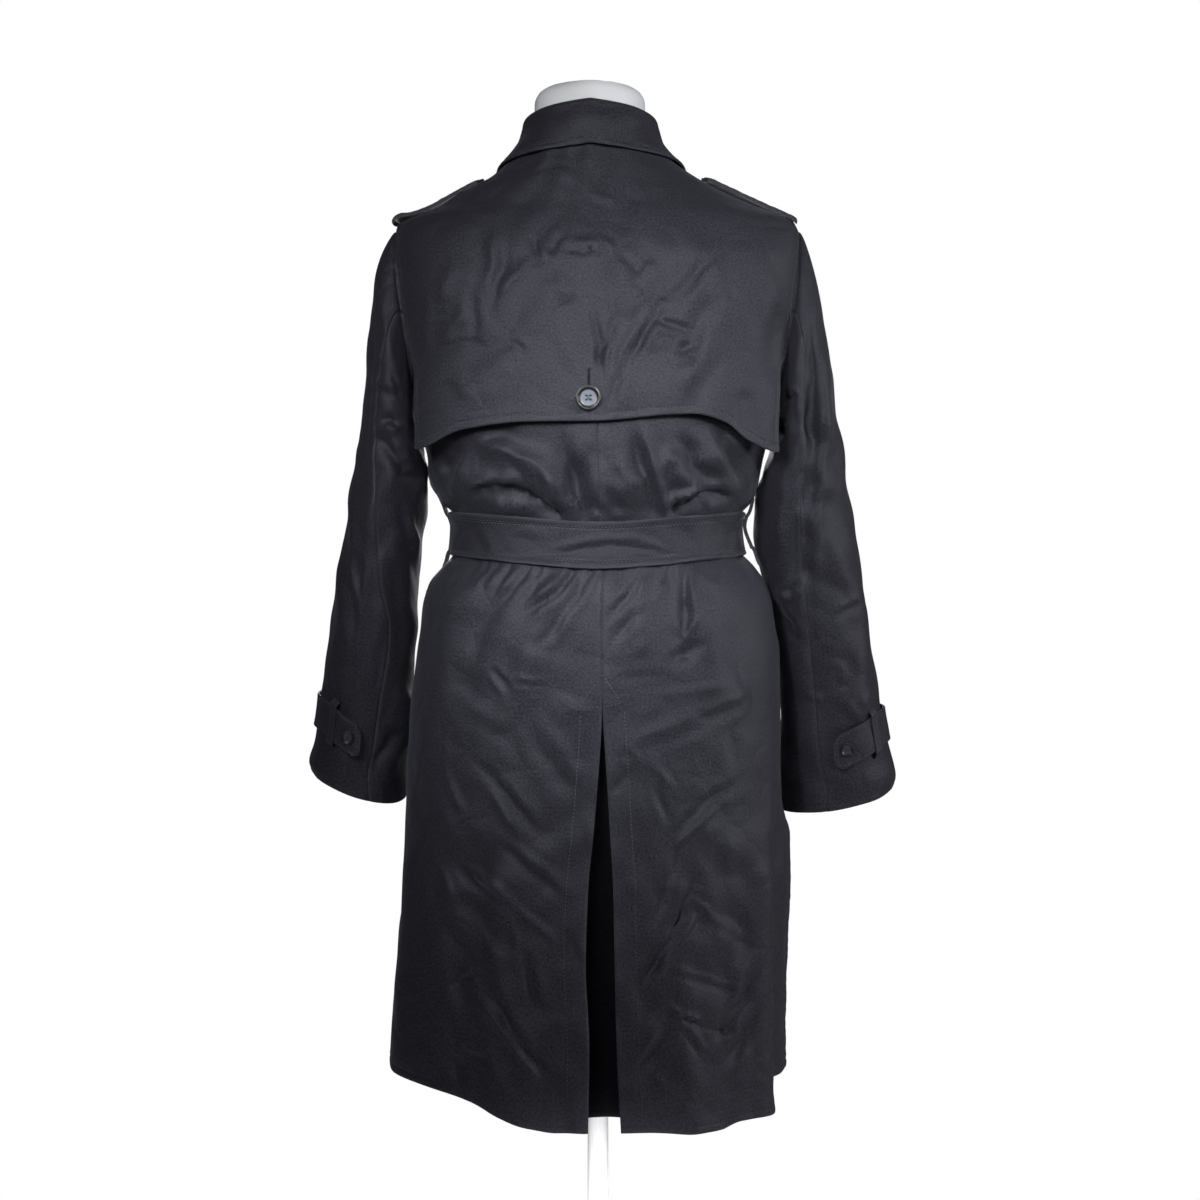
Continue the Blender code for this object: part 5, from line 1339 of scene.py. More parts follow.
def make_sleeves():
    for side, word in SIDES:
        def surface(turn, along, side=side):
            return sleeve_face(side, turn, along)

        hand = Hand(side, 2.0, 0.006)
        head, arm = np.linspace(0, 0.16, 20)[:-1], np.linspace(0.16, 0.975, 160)[:-1]
        shares = np.concatenate([head, arm, 1 - np.array(FINE[::-1]) / SLEEVE_LENGTH])
        seam = SLEEVES[side].at(shares).seam
        front = np.full_like(seam, FRONT_SEAM)
        gap = SLEEVE_SEAM_TURN
        panels = (
            ("upper", front + gap, seam - gap, 70), ("under", seam + gap, 360.0 + front - gap, 42)
        )
        for panel, start, end, columns in panels:
            width = np.radians(np.abs(end - start)) * SLEEVE_GIRTH
            u, v = ruled(shares, start, end, spread(width, columns))
            edges = Stitched("seam", "seam", "seam", "hem")
            relief = sleeve_relief(side)
            piece = Piece(surface, u, v, hand, -CLOTH, CLOTH, edges, 91 + side, relief)
            make_cloth("sleeve_%s_%s" % (panel, word), piece)
        make_cuff(side, word, surface, hand)


CUFF_LOOP_HALF = 0.042  # in shares of the sleeve's length
CUFF_LOOP_HALF_TURN = 4.5
CUFF_LOOP_THICK = 0.0015
CUFF_TIP_BLUNT = 7.0  # turn by which the tip's corners fall back


def make_cuff(side, word, surface, hand):
    place = CUFF_STRAPS[side]
    low, high = place["middle"] - CUFF_STRAP_HALF, place["middle"] + CUFF_STRAP_HALF
    rows = rows_from(low * SLEEVE_LENGTH, high * SLEEVE_LENGTH, 0.003) / SLEEVE_LENGTH
    from_middle = np.abs(rows - place["middle"]) / CUFF_STRAP_HALF
    start = np.full_like(rows, FRONT_SEAM + 4.0)
    end = place["tip"] - CUFF_TIP_BLUNT * from_middle**4
    u, v = ruled(rows, start, end, spread(np.radians(end - start) * SLEEVE_GIRTH, 80))

    def past_bend(turn):
        return np.maximum(0.0, (turn - place["bend"]) / (place["tip"] - place["bend"]))

    def drooping(turn, along):
        return surface(turn, along + place["droop"] * past_bend(turn) ** 1.3)

    def lifted(turn):
        return LIE + place["lift"] * past_bend(turn) ** 2

    def swell(point, turn, along):
        return 0.0004 * mottle(turn * 0.001, along * 0.5, 95 + side, 0.03)

    edges = Stitched("hidden", "strap", "strap", "strap")
    piece = Piece(drooping, u, v, hand, lifted(u), CUFF_STRAP_THICK, edges, 95, swell)
    stitches = [(edge, 0.004, (0.004, 0.004)) for edge in ("low", "high", "end")]
    make_cloth("cuff_strap_" + word, piece, stitches)

    half, half_turn = CUFF_LOOP_HALF, CUFF_LOOP_HALF_TURN
    rows = np.linspace(place["middle"] - half, place["middle"] + half, 40)
    turns = np.linspace(place["loop"] - half_turn, place["loop"] + half_turn, 14)
    u, v = np.meshgrid(turns, rows)
    beyond = np.abs(v - place["middle"]) - CUFF_STRAP_HALF
    over = lifted(u) + CUFF_STRAP_THICK + LIE
    inside = blend(over, LIE, ease((beyond - 0.004) / 0.010))
    edges = Stitched("hidden", "hidden", "seam", "seam")
    piece = Piece(drooping, u, v, hand, inside, CUFF_LOOP_THICK, edges, 97)
    piece.settle("cuff_loop_" + word)
    make_cloth("cuff_loop_" + word, piece)


BELT_REACH = 174.0  # the buckle covers the rest of the turn
BELT_END_TURNS = (166.0, 118.0)
BELT_END_BLUNT = 5.0
BELT_END_THICK = 0.0025


def belt_relief(point, turn, up):
    swell = swells(turn, up, seed=101, length=0.05, depth=0.0004)
    return crease_depth(BELT_CREASES, *drawn(point)) + swell


def make_belt():
    half = BELT_WIDTH / 2
    rows = rows_from(-half, half, 0.0028)
    u, v = np.meshgrid(np.linspace(-BELT_REACH, BELT_REACH, 330), rows)
    edges = Stitched("hidden", "hidden", "belt", "belt")
    piece = Piece(belt_face, u, v, ROUND_BODY, belt_stand(u), BELT_THICK, edges, 101, belt_relief)
    stitches = [(edge, off, (0, 0)) for edge in ("low", "high") for off in (0.0064, 0.0088)]
    make_cloth("belt", piece, stitches, finish=BELT_PAINTED_SHADE_FINISH)

    start, end = BELT_END_TURNS
    blunt = end + BELT_END_BLUNT * (np.abs(rows) / half) ** 2
    u, v = ruled(rows, np.full_like(rows, start), blunt, np.linspace(0, 1, 44)[None, :])
    inside = belt_stand(u) + BELT_THICK + LIE
    edges = Stitched("hidden", "strap", "strap", "strap")
    piece = Piece(belt_face, u, v, ROUND_BODY, inside, BELT_END_THICK, edges, 103)
    long_sides = [(edge, 0.004, (0, 0.004)) for edge in ("low", "high")]
    make_cloth("belt_end", piece, [*long_sides, ("end", 0.004, (0.004, 0.004))])


BELT_LOOP_PAST = 0.014  # how far a loop reaches past the belt's edges
BELT_LOOP_HALF_TURN = 1.6
BELT_LOOP_THICK = 0.0030


def make_belt_loops():
    half = BELT_WIDTH / 2
    end, half_turn = half + BELT_LOOP_PAST, BELT_LOOP_HALF_TURN
    for side, word in SIDES:
        place = BELT_LOOPS[side]
        middle = side * place["turn"]
        turns = np.linspace(middle - half_turn, middle + half_turn, 12)
        u, v = np.meshgrid(turns, np.linspace(-end, end, 40))
        over_belt = ON_PLY + BELT_THICK + 2 * LIE
        lying = blend(over_belt, ON_PLY, ease((np.abs(v) - half - 0.002) / 0.010))
        inside = lying + place["slack"] * ease((0.010 - v) / 0.035)
        edges = Stitched("hidden", "hidden", "seam", "seam")
        piece = Piece(belt_face, u, v, ROUND_BODY, inside, BELT_LOOP_THICK, edges, 105)
        piece.settle("belt_loop_" + word)
        make_cloth("belt_loop_" + word, piece)


EPAULETTE_LENGTH = 0.105
EPAULETTE_BLUNT = 0.35  # share of the width that the tip's corners lose
EPAULETTE_HANG, EPAULETTE_TIP_HANG = 0.0018, 0.004
EPAULETTE_HANG_POWER = 1.6
EPAULETTE_BACK = 0.010  # how much further its rear edge reaches than its solid's


def make_epaulettes():
    for side, word in SIDES:
        def surface(share, along, side=side):
            path = EPAULETTES[side].at(along)
            y = share * EPAULETTE_HALF_WIDTH
            z = path.height - EPAULETTE_DROP * share**2
            return np.stack([side * path.x * np.ones_like(share), y, z], -1)

        fine = np.array(FINE) / EPAULETTE_LENGTH
        rows = np.concatenate([fine, np.linspace(0.13, 0.80, 30), np.linspace(0.82, 1.0, 30)])
        blunt = 1.0 - EPAULETTE_BLUNT * ease((0.10 - rows) / 0.10) ** 2
        shares = spread(np.full_like(rows, 2 * EPAULETTE_HALF_WIDTH), 14)
        u, v = ruled(rows, -blunt, blunt, shares)
        edges = Stitched("edge", "edge", "edge", "hidden")
        piece = Piece(surface, u, v, Hand(side, 0.1, 0.01), 0.0, CLOTH, edges, 107 + side)
        piece.settle("epaulette_" + word)
        # It is two plies thick, and its rear edge hangs over the shoulder.
        behind = np.maximum(u, 0.0)
        hang = EPAULETTE_HANG + EPAULETTE_TIP_HANG * ease((v - 0.85) / 0.15)
        for face, thicker in ((piece.outer, CLOTH - 0.0004), (piece.inner, 0.0)):
            face[..., 2] += thicker - hang * behind**EPAULETTE_HANG_POWER
            face[..., 1] += EPAULETTE_BACK * behind
        stitches = [(edge, 0.006, (0.012, 0)) for edge in ("start", "end")]
        make_cloth("epaulette_" + word, piece, stitches)


# ---------------------------------------------------------------- buttons, buckle, form
def deselect():
    if bpy.context.mode != "OBJECT":
        bpy.ops.object.mode_set(mode="OBJECT")
    bpy.ops.object.select_all(action="DESELECT")


def only(thing):
    deselect()
    thing.select_set(True)
    bpy.context.view_layer.objects.active = thing


def pick_faces(thing, rule):
    """In edit mode, select just the faces that a rule picks by middle and normal."""
    bpy.ops.object.mode_set(mode="OBJECT")
    mesh = thing.data
    for group in (mesh.vertices, mesh.edges, mesh.polygons):
        group.foreach_set("select", [False] * len(group))
    for face in mesh.polygons:
        face.select = rule(face.center, face.normal)
    bpy.ops.object.mode_set(mode="EDIT")
    bpy.ops.mesh.select_mode(type="FACE")


# A button's widths are shares of its radius, and its depths are shares of its thickness.
RIM_WIDTH, RIM_SLOPE, PLATE_SLOPE = 0.20, 0.07, 0.10
RIM_DROP, PLATE_DROP = 0.36, 0.06
ROUNDING = 0.055
PAINTED_REFLECTION_REACH = 0.64
HOLES_OUT, HOLE_RADIUS = 0.17, 0.085
HOLES = ((1, 1), (-1, 1), (-1, -1), (1, -1))
FACES_UP = 0.9  # the least height of the normal of a face that faces up


def turn_button(name, radius, thick, reflection_finish):
    """A four-hole button, its underside on the ground, with a raised rim and a dished plate."""
    deselect()
    bpy.ops.mesh.primitive_cylinder_add(
        vertices=64, radius=radius, depth=thick, location=(0, 0, thick / 2)
    )
    button = bpy.context.object
    button.name = name
    bpy.ops.object.transform_apply(location=True, rotation=False, scale=False)
    pick_faces(button, lambda middle, normal: normal.z > FACES_UP)
    bpy.ops.mesh.inset(thickness=radius * RIM_WIDTH)
    for slope, drop in ((RIM_SLOPE, RIM_DROP), (PLATE_SLOPE, PLATE_DROP)):
        bpy.ops.mesh.inset(thickness=radius * slope)
        bpy.ops.transform.translate(value=(0, 0, -thick * drop))
    bpy.ops.object.mode_set(mode="OBJECT")
    soft = button.modifiers.new("soft_edges", "BEVEL")
    soft.width = radius * ROUNDING
    soft.segments = 3
    soft.limit_method = "ANGLE"
    soft.angle_limit = math.radians(24)
    bpy.ops.object.modifier_apply(modifier=soft.name)
    hole_at = radius * HOLES_OUT
    for step_x, step_y in HOLES:
        deselect()
        bpy.ops.mesh.primitive_cylinder_add(
            vertices=20, radius=radius * HOLE_RADIUS, depth=thick * 3,
            location=(step_x * hole_at, step_y * hole_at, thick * 0.5),
        )
        drill = bpy.context.object
        only(button)
        hole = button.modifiers.new("hole", "BOOLEAN")
        hole.operation = "DIFFERENCE"
        hole.solver = "EXACT"
        hole.object = drill
        bpy.ops.object.modifier_apply(modifier=hole.name)
        bpy.data.objects.remove(drill, do_unlink=True)
    button.data.materials.clear()
    button.data.materials.append(MOULDED)
    button.data.materials.append(reflection_finish)
    # The faces of the dished plate take the pale finish: a painted reflection.
    for face in button.data.polygons:
        dished = math.hypot(face.center.x, face.center.y) < radius * PAINTED_REFLECTION_REACH
        if dished and face.normal.z > FACES_UP:
            face.material_index = 1
    deselect()
    return button


STRANDS = (  # the holes that each strand joins, and how much it arches
    ((1, 1), (-1, -1), 0.30), ((-1, 1), (1, -1), 0.42), ((1, 1), (-1, 1), 0.24),
    ((1, -1), (-1, -1), 0.24),
)
STRAND_THICK, STRAND_WIDTH = 0.09, 0.42  # of its length
STRAND_RISE, STRAND_FOOT = 0.45, 0.36  # of the button's thickness


def turn_thread(name, radius, thick):
    """The thread that holds a button: four strands that cross between its holes."""
    deselect()
    hole_at = radius * HOLES_OUT
    stood = Matrix.Rotation(math.radians(90), 4, "X")
    strands = []
    for start, end, arch in STRANDS:
        bpy.ops.mesh.primitive_torus_add(
            major_segments=20, minor_segments=6, major_radius=0.5, minor_radius=STRAND_THICK
        )
        strand = bpy.context.object
        a, b = (Vector((x * hole_at, y * hole_at, 0)) for x, y in (start, end))
        run = b - a
        turned = Matrix.Rotation(math.atan2(run.y, run.x), 4, "Z")
        width, height = run.length * STRAND_WIDTH, thick * (STRAND_RISE + arch)
        size = Matrix.Diagonal((run.length, width, height, 1))
        middle = Matrix.Translation((a + b) / 2 + Vector((0, 0, thick * STRAND_FOOT)))
        strand.data.transform(middle @ turned @ size @ stood)
        strands.append(strand)
    deselect()
    for strand in strands:
        strand.select_set(True)
    bpy.context.view_layer.objects.active = strands[0]
    bpy.ops.object.join()
    thread = bpy.context.object
    thread.name = name
    thread.matrix_world = Matrix.Identity(4)
    thread.data.materials.clear()
    thread.data.materials.append(THREAD)
    deselect()
    return thread


BUTTONS_FACE = {"epaulette": (0, 0, 1), "cuff": (0, 1, 0)}  # the others face off the body


def button_place(node):
    """Where a button's node sits: its underside's middle, and the way it faces."""
    corners = np.array([vert.co for vert in NODES[node].data.vertices])
    mean = corners.mean(0)
    axis = np.linalg.svd(corners - mean, full_matrices=False)[2][-1]
    outward = (corners.max(0) + corners.min(0)) * (1, 1, 0)
    outward = BUTTONS_FACE.get(node.split("_")[0], outward)
    if axis @ outward <= 0:
        axis = -axis
    ups = (corners - mean) @ axis
    flat = corners - np.outer(ups, axis)
    centre = (flat.max(0) + flat.min(0)) / 2
    centre = centre - axis * ((centre - mean) @ axis) + axis * ups.min()
    return Vector(centre), Vector(axis)


BUTTON_SIZES = {"large": (0.0125, BUTTON_THICK), "small": (0.0070, SMALL_BUTTON_THICK)}
BUTTON_SHARP = math.radians(35)


def sew_buttons():
    models = {
        size: (
            turn_button("button_model_" + size, *cut, PAINTED_REFLECTION_FINISHES[size]),
            turn_thread("thread_model_" + size, *cut),
        )
        for size, cut in BUTTON_SIZES.items()
    }
    for node in sorted(NODES):
        if "_button" not in node:
            continue
        size = "small" if node.startswith(("cuff", "epaulette")) else "large"
        foot, axis = button_place(node)
        spot = Matrix.Translation(foot) @ axis.to_track_quat("Z", "Y").to_matrix().to_4x4()
        for model, prefix in zip(models[size], ("", "thread_")):
            copy = put(prefix + "sewn_" + node, model.data.copy())
            copy.data.transform(spot)
            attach(copy, BODY_NAME)
            if not prefix:
                only(copy)
                bpy.ops.object.shade_smooth_by_angle(angle=BUTTON_SHARP)
                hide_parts(node)
    deselect()
    for pair in models.values():
        for model in pair:
            bpy.data.objects.remove(model, do_unlink=True)


FORM_SHOULDER = 1.36  # its rows are closer above
FORM_TOP = 1.5205
FORM_TUCK = 0.93  # of its girth, at the lowest row


def make_form():
    low = np.linspace(FORM_BOTTOM, FORM_SHOULDER, 60)[:-1]
    heights = np.concatenate([low, np.linspace(FORM_SHOULDER, FORM_TOP, 70)])
    u, v = np.meshgrid(np.linspace(0, 360, 121)[:-1], heights)
    points = form_face(wrap(u), v)
    points[0, :, :2] *= FORM_TUCK
    index = np.arange(u.size).reshape(u.shape)
    after = np.roll(index, -1, axis=1)
    faces = np.stack([index[:-1], after[:-1], after[1:], index[1:]], -1).reshape(-1, 4).tolist()
    faces += [(b, a, u.size) for a, b in zip(index[0].tolist(), after[0].tolist())]
    faces += [(a, b, u.size + 1) for a, b in zip(index[-1].tolist(), after[-1].tolist())]
    ends = [points[0].mean(0), points[-1].mean(0)]
    mesh = bpy.data.meshes.new("form_cover")
    mesh.from_pydata(np.concatenate([points.reshape(-1, 3), ends]).tolist(), [], faces)
    mesh.validate()
    mesh.shade_smooth()
    mesh.materials.append(JERSEY)
    form = put("form_cover", mesh)
    if sum(mesh.vertices[p.vertices[0]].co.dot(p.normal) * p.area for p in mesh.polygons) < 0:
        mesh.flip_normals()
    wear(form, "dress_form")


def refinish(finish, *nodes):
    for node in nodes:
        NODES[node].data.materials.clear()
        NODES[node].data.materials.append(finish)


# ---------------------------------------------------------------- creases
# Rows, in millimetres: across and up at both ends, depth (below 0 a trough) and width. The back,
# flap, collar, belt and sleeves are drawn as seen from behind; the front by its girth and height.
FLAP_CREASES = [
    (-68, 1290, -34, 1233, -3.7, 4), (-40, 1264, -15, 1217, 2.4, 5.4),
    (4, 1280, -4, 1217, -2.5, 3.6), (-19, 1274, 0, 1230, -3.1, 3.6),
    (-14, 1264, -6, 1215, 1.9, 3.6), (-121, 1342, -84, 1293, -3.1, 4.5),
    (-107, 1332, -79, 1296, -2, 3.6), (-142, 1314, -140, 1280, -2.7, 3.1),
    (-151, 1304, -134, 1287, 2, 3.1), (-141, 1288, -90, 1196, 3.4, 8.1),
    (-120, 1293, -74, 1222, -2.4, 6.3), (-158, 1312, -187, 1262, 2, 6.3),
    (-172, 1333, -195, 1274, 2.4, 7.2), (-58, 1275, -99, 1260, -2, 3.1),
    (-60, 1265, -97, 1250, 1.5, 3.6), (-97, 1260, -74, 1228, 1.5, 4.5),
    (-82, 1238, -101, 1246, -1.4, 2.7), (109, 1369, 113, 1301, 3.4, 6.3),
    (97, 1343, 114, 1285, -3.4, 5.4), (68, 1359, 62, 1337, -2.7, 2.7),
    (61, 1343, 47, 1339, 2, 2.7), (37, 1363, 53, 1338, -3.1, 3.6), (74, 1333, 103, 1301, 2.5, 4.5),
    (32, 1346, 0, 1346, -3.1, 3.1), (27, 1353, 2, 1353, 2, 3.6), (-2, 1358, -16, 1346, 2.4, 3.6),
    (166, 1241, 141, 1250, -2, 2.7), (141, 1250, 120, 1246, -1.5, 2.7),
    (100, 1242, 89, 1249, -1.7, 2.7), (89, 1249, 77, 1238, -2, 3.1),
    (138, 1290, 163, 1246, 2.2, 5.4), (131, 1296, 130, 1251, -1.9, 4.5),
    (153, 1325, 168, 1293, 1.7, 5.4), (-34, 1283, -62, 1310, 2, 4.5),
    (-65, 1301, -78, 1293, 1.9, 3.6), (-23, 1342, -47, 1322, -1.7, 3.6),
    (-47, 1322, -60, 1333, 1.7, 3.6), (8, 1405, -17, 1397, 2, 3.6), (50, 1430, 19, 1421, 1.4, 4.5),
    (56, 1309, 17, 1297, 1.4, 6.3), (176, 1304, 183, 1230, 1.7, 6.3),
    (-116, 1262, -97, 1201, 1.5, 5.4), (-130, 1238, -107, 1188, -1.5, 5.4),
    (-44, 1333, -32, 1306, -1.5, 4.5), (-74, 1327, -60, 1304, -1.7, 4.5),
    (-193, 1293, -181, 1209, -2, 7.2), (-168, 1251, -145, 1186, 1.7, 7.2),
    (40, 1272, 24, 1217, 1.2, 7.2), (150, 1217, 134, 1190, 1, 6.3),
    (-21, 1217, -15, 1186, -2.4, 4.5),
]
BACK_CREASES = [
    (124, 1146, 61, 1117, 9, 9.5), (61, 1117, 21, 1067, 9, 9.5), (34, 1140, 15, 1067, -9.9, 9.5),
    (105, 1133, 82, 1115, -3.6, 5.2), (134, 1089, 110, 1096, -6.3, 4.7),
    (110, 1096, 79, 1090, -8.1, 4.7), (79, 1090, 54, 1076, -8.1, 4.7),
    (56, 1078, 40, 1065, -6.3, 4.2), (113, 1077, 77, 1073, 5, 6.3),
    (176, 1121, 147, 1144, -4.7, 9.5), (163, 1099, 143, 1133, -6.1, 8.4),
    (137, 1133, 155, 1091, 4.5, 6.3), (-72, 1066, -86, 1077, -5.4, 3.7),
    (-86, 1077, -114, 1090, -8.1, 4.2), (-114, 1090, -142, 1086, -7.2, 4.7),
    (-95, 1070, -128, 1075, 4.3, 5.2), (-47, 1157, -72, 1067, 6.1, 5.2),
    (-38, 1146, -59, 1073, -5.4, 7.4), (-89, 1146, -114, 1100, -9, 7.4),
    (-78, 1083, -113, 1102, 6.3, 5.2), (-74, 1133, -97, 1094, 4, 8.4),
    (5, 1079, -15, 1066, -4.3, 4.2), (8, 1070, -32, 1068, 3.6, 5.2),
    (-8, 1094, -25, 1067, -2.5, 5.2), (-120, 1146, -139, 1094, 5.4, 6.3),
    (-132, 1150, -147, 1104, -7.2, 6.3), (-15, 1121, -36, 1106, 1.6, 6.3),
    (170, 1083, 150, 1078, 2.7, 4.2), (146, 1033, 159, 995, -1.5, 3),
    (134, 1031, 148, 991, 1.5, 3), (123, 1026, 137, 995, -1.8, 3),
    (-118, 1023, -108, 986, -1.7, 3), (-135, 1027, -125, 988, 1.5, 3.5),
    (57, 1020, 71, 991, -1.8, 3), (15, 1018, 25, 986, -1.8, 3), (-62, 1018, -49, 988, -1.7, 3),
    (112, 1023, 132, 993, -2.2, 3), (101, 1021, 126, 986, -1.8, 3), (89, 1019, 108, 986, -1.5, 3),
    (69, 1016, 103, 974, -2.4, 3.5), (75, 1015, 110, 978, 1.5, 3.5), (45, 1016, 76, 976, -2, 3.5),
    (20, 1017, 43, 986, -4.5, 3.5), (43, 986, 78, 965, -3.9, 4), (27, 1010, 71, 974, 2.7, 4),
    (4, 1016, 24, 978, -3, 4), (24, 978, 60, 930, -2.2, 5), (17, 978, 48, 936, 1.8, 5),
    (-9, 1019, 2, 988, -1.8, 3), (-55, 1018, -29, 980, -3, 4), (-29, 980, -14, 962, -2.7, 4),
    (-48, 1017, -21, 978, 2, 4), (-77, 1014, -48, 970, -2.7, 4.5), (-48, 970, -16, 935, -2.7, 5),
    (-71, 999, -38, 959, 2.1, 5), (-66, 1020, -53, 988, -2, 3), (-27, 1018, -19, 991, -1.5, 3),
    (-42, 1017, -28, 992, -1.2, 3), (-84, 1019, -81, 955, 2.7, 3.6),
    (-81, 955, -88, 934, 3.6, 3.2), (-99, 1004, -104, 959, 2.4, 3.8),
    (-104, 959, -89, 934, 3.3, 3.5), (-91, 1013, -91, 946, -3.6, 5),
    (-79, 913, -109, 933, -3.3, 5.4), (-96, 1012, -130, 988, 1.4, 6),
    (-44, 944, -32, 925, -1.2, 5), (82, 936, 40, 923, -0.9, 7.2), (110, 904, 95, 886, -2.7, 2.7),
    (114, 898, 101, 879, 1.4, 2.7), (89, 890, 56, 888, -1.7, 2.2), (87, 895, 58, 893, 0.9, 2.7),
    (173, 823, 163, 841, -2.5, 3.1), (166, 818, 156, 839, 1.7, 3.6),
    (-156, 880, -107, 858, 2.4, 5.4), (-107, 858, -37, 829, 2.1, 6.3),
    (-151, 871, -97, 848, -2.1, 6.3), (-142, 849, -142, 808, -2.2, 5.4),
    (-139, 782, -107, 761, -3.9, 4.5), (-107, 761, -80, 723, -4.2, 4.5),
    (-121, 757, -97, 734, 3, 2.7), (-97, 734, -78, 718, 3, 2.7), (-58, 803, -80, 781, 2.4, 3.1),
    (-62, 782, -76, 743, -2.4, 3.6), (-53, 776, -67, 743, 1.5, 3.6), (71, 838, 33, 780, -2.5, 7.2),
    (56, 844, 19, 794, 1.7, 7.2), (100, 778, 67, 735, -3.9, 4.5), (109, 772, 82, 730, 2.4, 4.5),
    (124, 803, 96, 776, -1.8, 4.5), (159, 796, 145, 757, 2.1, 3.6),
    (166, 789, 153, 752, -1.5, 4.5), (-149, 904, -158, 873, 2.4, 2.7),
    (-158, 873, -151, 856, 1.5, 2.7), (-16, 894, -74, 900, -0.9, 3.6),
    (-30, 876, -151, 888, 0.9, 4.5), (134, 852, 82, 823, -1.2, 8.1),
    (-30, 826, -44, 810, 1.5, 2.7), (-34, 833, -29, 810, -1.4, 2.7),
    (-15, 778, -36, 799, -1.4, 3.6), (40, 873, 8, 860, 0.8, 5.4), (150, 883, 113, 852, 1.2, 7.2),
    (182, 936, 193, 831, 1.5, 6.3), (170, 936, 182, 810, -1.5, 6.3),
    (-172, 936, -181, 852, 1.8, 5.4), (-162, 936, -172, 873, -1.7, 5.4),
    (-183, 831, -179, 705, 2.1, 4.5), (-174, 852, -170, 726, -2, 5.4),
    (134, 957, 166, 925, 0.9, 9), (-107, 831, -65, 818, 1, 5.4), (-97, 810, -74, 802, -1, 3.6),
    (-93, 738, -75, 724, 2.7, 2.7), (-86, 715, -72, 676, -4.2, 4.5), (-72, 676, -57, 634, -2.7, 5),
    (-77, 668, -62, 631, 1.8, 4.5), (-97, 678, -79, 627, -4.5, 4), (-79, 627, -50, 577, -3.3, 4.5),
    (-105, 649, -83, 617, 4.2, 3.6), (-83, 617, -51, 571, 3.9, 3.6),
    (-100, 664, -117, 651, 2.4, 2.7), (-110, 652, -162, 620, 1.7, 3.6),
    (-173, 600, -142, 539, -3.9, 5.4), (-142, 539, -124, 518, -3.3, 4.5),
    (-162, 604, -130, 545, 2.7, 5.4), (-86, 540, -109, 530, -3.3, 2.3),
    (-109, 530, -144, 523, -2.7, 2.3), (-87, 545, -110, 536, 2, 2.7),
    (-74, 555, -88, 539, 2.7, 3.1), (-77, 526, -44, 482, -3.9, 5), (-69, 556, -47, 499, 3, 4.5),
    (-97, 529, -116, 503, 1.7, 2.7), (-90, 524, -107, 497, -1.8, 2.7),
    (-167, 547, -140, 493, -3.3, 4.5), (-154, 550, -130, 503, 2.2, 4.5),
    (-72, 586, -143, 567, -1.5, 2.7), (-75, 592, -141, 574, 1.2, 3.1),
    (176, 702, 184, 658, 2.8, 2.7), (169, 705, 151, 664, 2.7, 2.7),
    (172, 684, 168, 655, -2.7, 4.5), (189, 663, 181, 684, -1.5, 2.7),
    (138, 698, 105, 676, 3.6, 3.6), (105, 676, 84, 651, 3.6, 3.6), (143, 690, 103, 658, -2.7, 4.5),
    (98, 667, 82, 648, -2.2, 3.6), (96, 715, 43, 670, -2.8, 4.5), (88, 720, 40, 680, 2.1, 4.5),
    (82, 652, 47, 621, 3.3, 3.6), (88, 637, 82, 604, 2.4, 4.5), (81, 649, 79, 602, -2.1, 4),
    (78, 603, 64, 550, -4.2, 4.5), (65, 610, 53, 558, 2.1, 5.4), (201, 555, 155, 575, -2.7, 2.3),
    (155, 575, 123, 587, -2.7, 2.3), (200, 560, 124, 593, 1.7, 2.7),
    (110, 561, 86, 522, -3.9, 4.5), (86, 522, 60, 483, -3.9, 4), (100, 520, 65, 478, 2.5, 3.1),
    (118, 552, 95, 516, 2.7, 4.5), (176, 555, 159, 513, 1.8, 3.6), (159, 513, 143, 497, 1.8, 3.6),
    (184, 547, 166, 505, -1.5, 4.5), (148, 513, 111, 501, 1.4, 3.6),
    (143, 505, 116, 495, -1.2, 3.6), (194, 579, 159, 635, 1.7, 3.6),
    (200, 600, 170, 644, -1.4, 4.5), (33, 631, 19, 596, -2.5, 4), (40, 537, 32, 520, 1.5, 3.6),
    (166, 642, 134, 600, -1.8, 6.3), (124, 631, 103, 600, 2, 6.3), (134, 663, 109, 621, -2.4, 6.3),
    (61, 514, 53, 505, 1.2, 2.7), (22, 768, 8, 694, -1.4, 5.4), (11, 684, 19, 631, 1.4, 4.5),
    (-60, 479, -70, 468, 1.4, 2.7), (-107, 705, -128, 736, -1.7, 6.3),
    (-128, 694, -147, 726, 1.4, 6.3), (-149, 489, -179, 526, 1.5, 5.4),
    (-15, 558, -32, 495, -1.2, 5.4), (44, 457, 8, 453, 1.2, 2.7), (82, 469, 40, 461, -1, 4.5),
    (-44, 453, -97, 461, 1, 5.4), (-23, 705, -39, 663, 1.2, 5.4), (176, 495, 134, 469, 1, 6.3),
]
COLLAR_CREASES = [
    (40, 1484, -44, 1490, 0.5, 8), (61, 1451, 82, 1440, 0.5, 4), (-44, 1482, -60, 1461, -0.5, 6),
    (56, 1477, 66, 1451, 0.5, 7),
]
BELT_CREASES = [
    (44, 1033, -2, 1043, 1.3, 3.1), (-2, 1043, -44, 1043, 1.3, 3.1),
    (-44, 1043, -78, 1028, 1.3, 3.1), (40, 1027, -13, 1036, -1.6, 3.1),
    (-13, 1036, -65, 1028, -1.6, 3.1), (-60, 1062, -84, 1020, 1.6, 6.3),
    (-78, 1066, -97, 1041, -1, 5.4), (134, 1062, 122, 1025, -1, 4.5),
    (124, 1067, 111, 1030, 0.9, 4.5), (-128, 1057, -144, 1030, -1.4, 4.5),
    (-120, 1062, -134, 1036, 1, 4.5), (-144, 1051, -151, 1030, 1.3, 2.7),
    (82, 1051, 53, 1046, 0.8, 4.5),
]
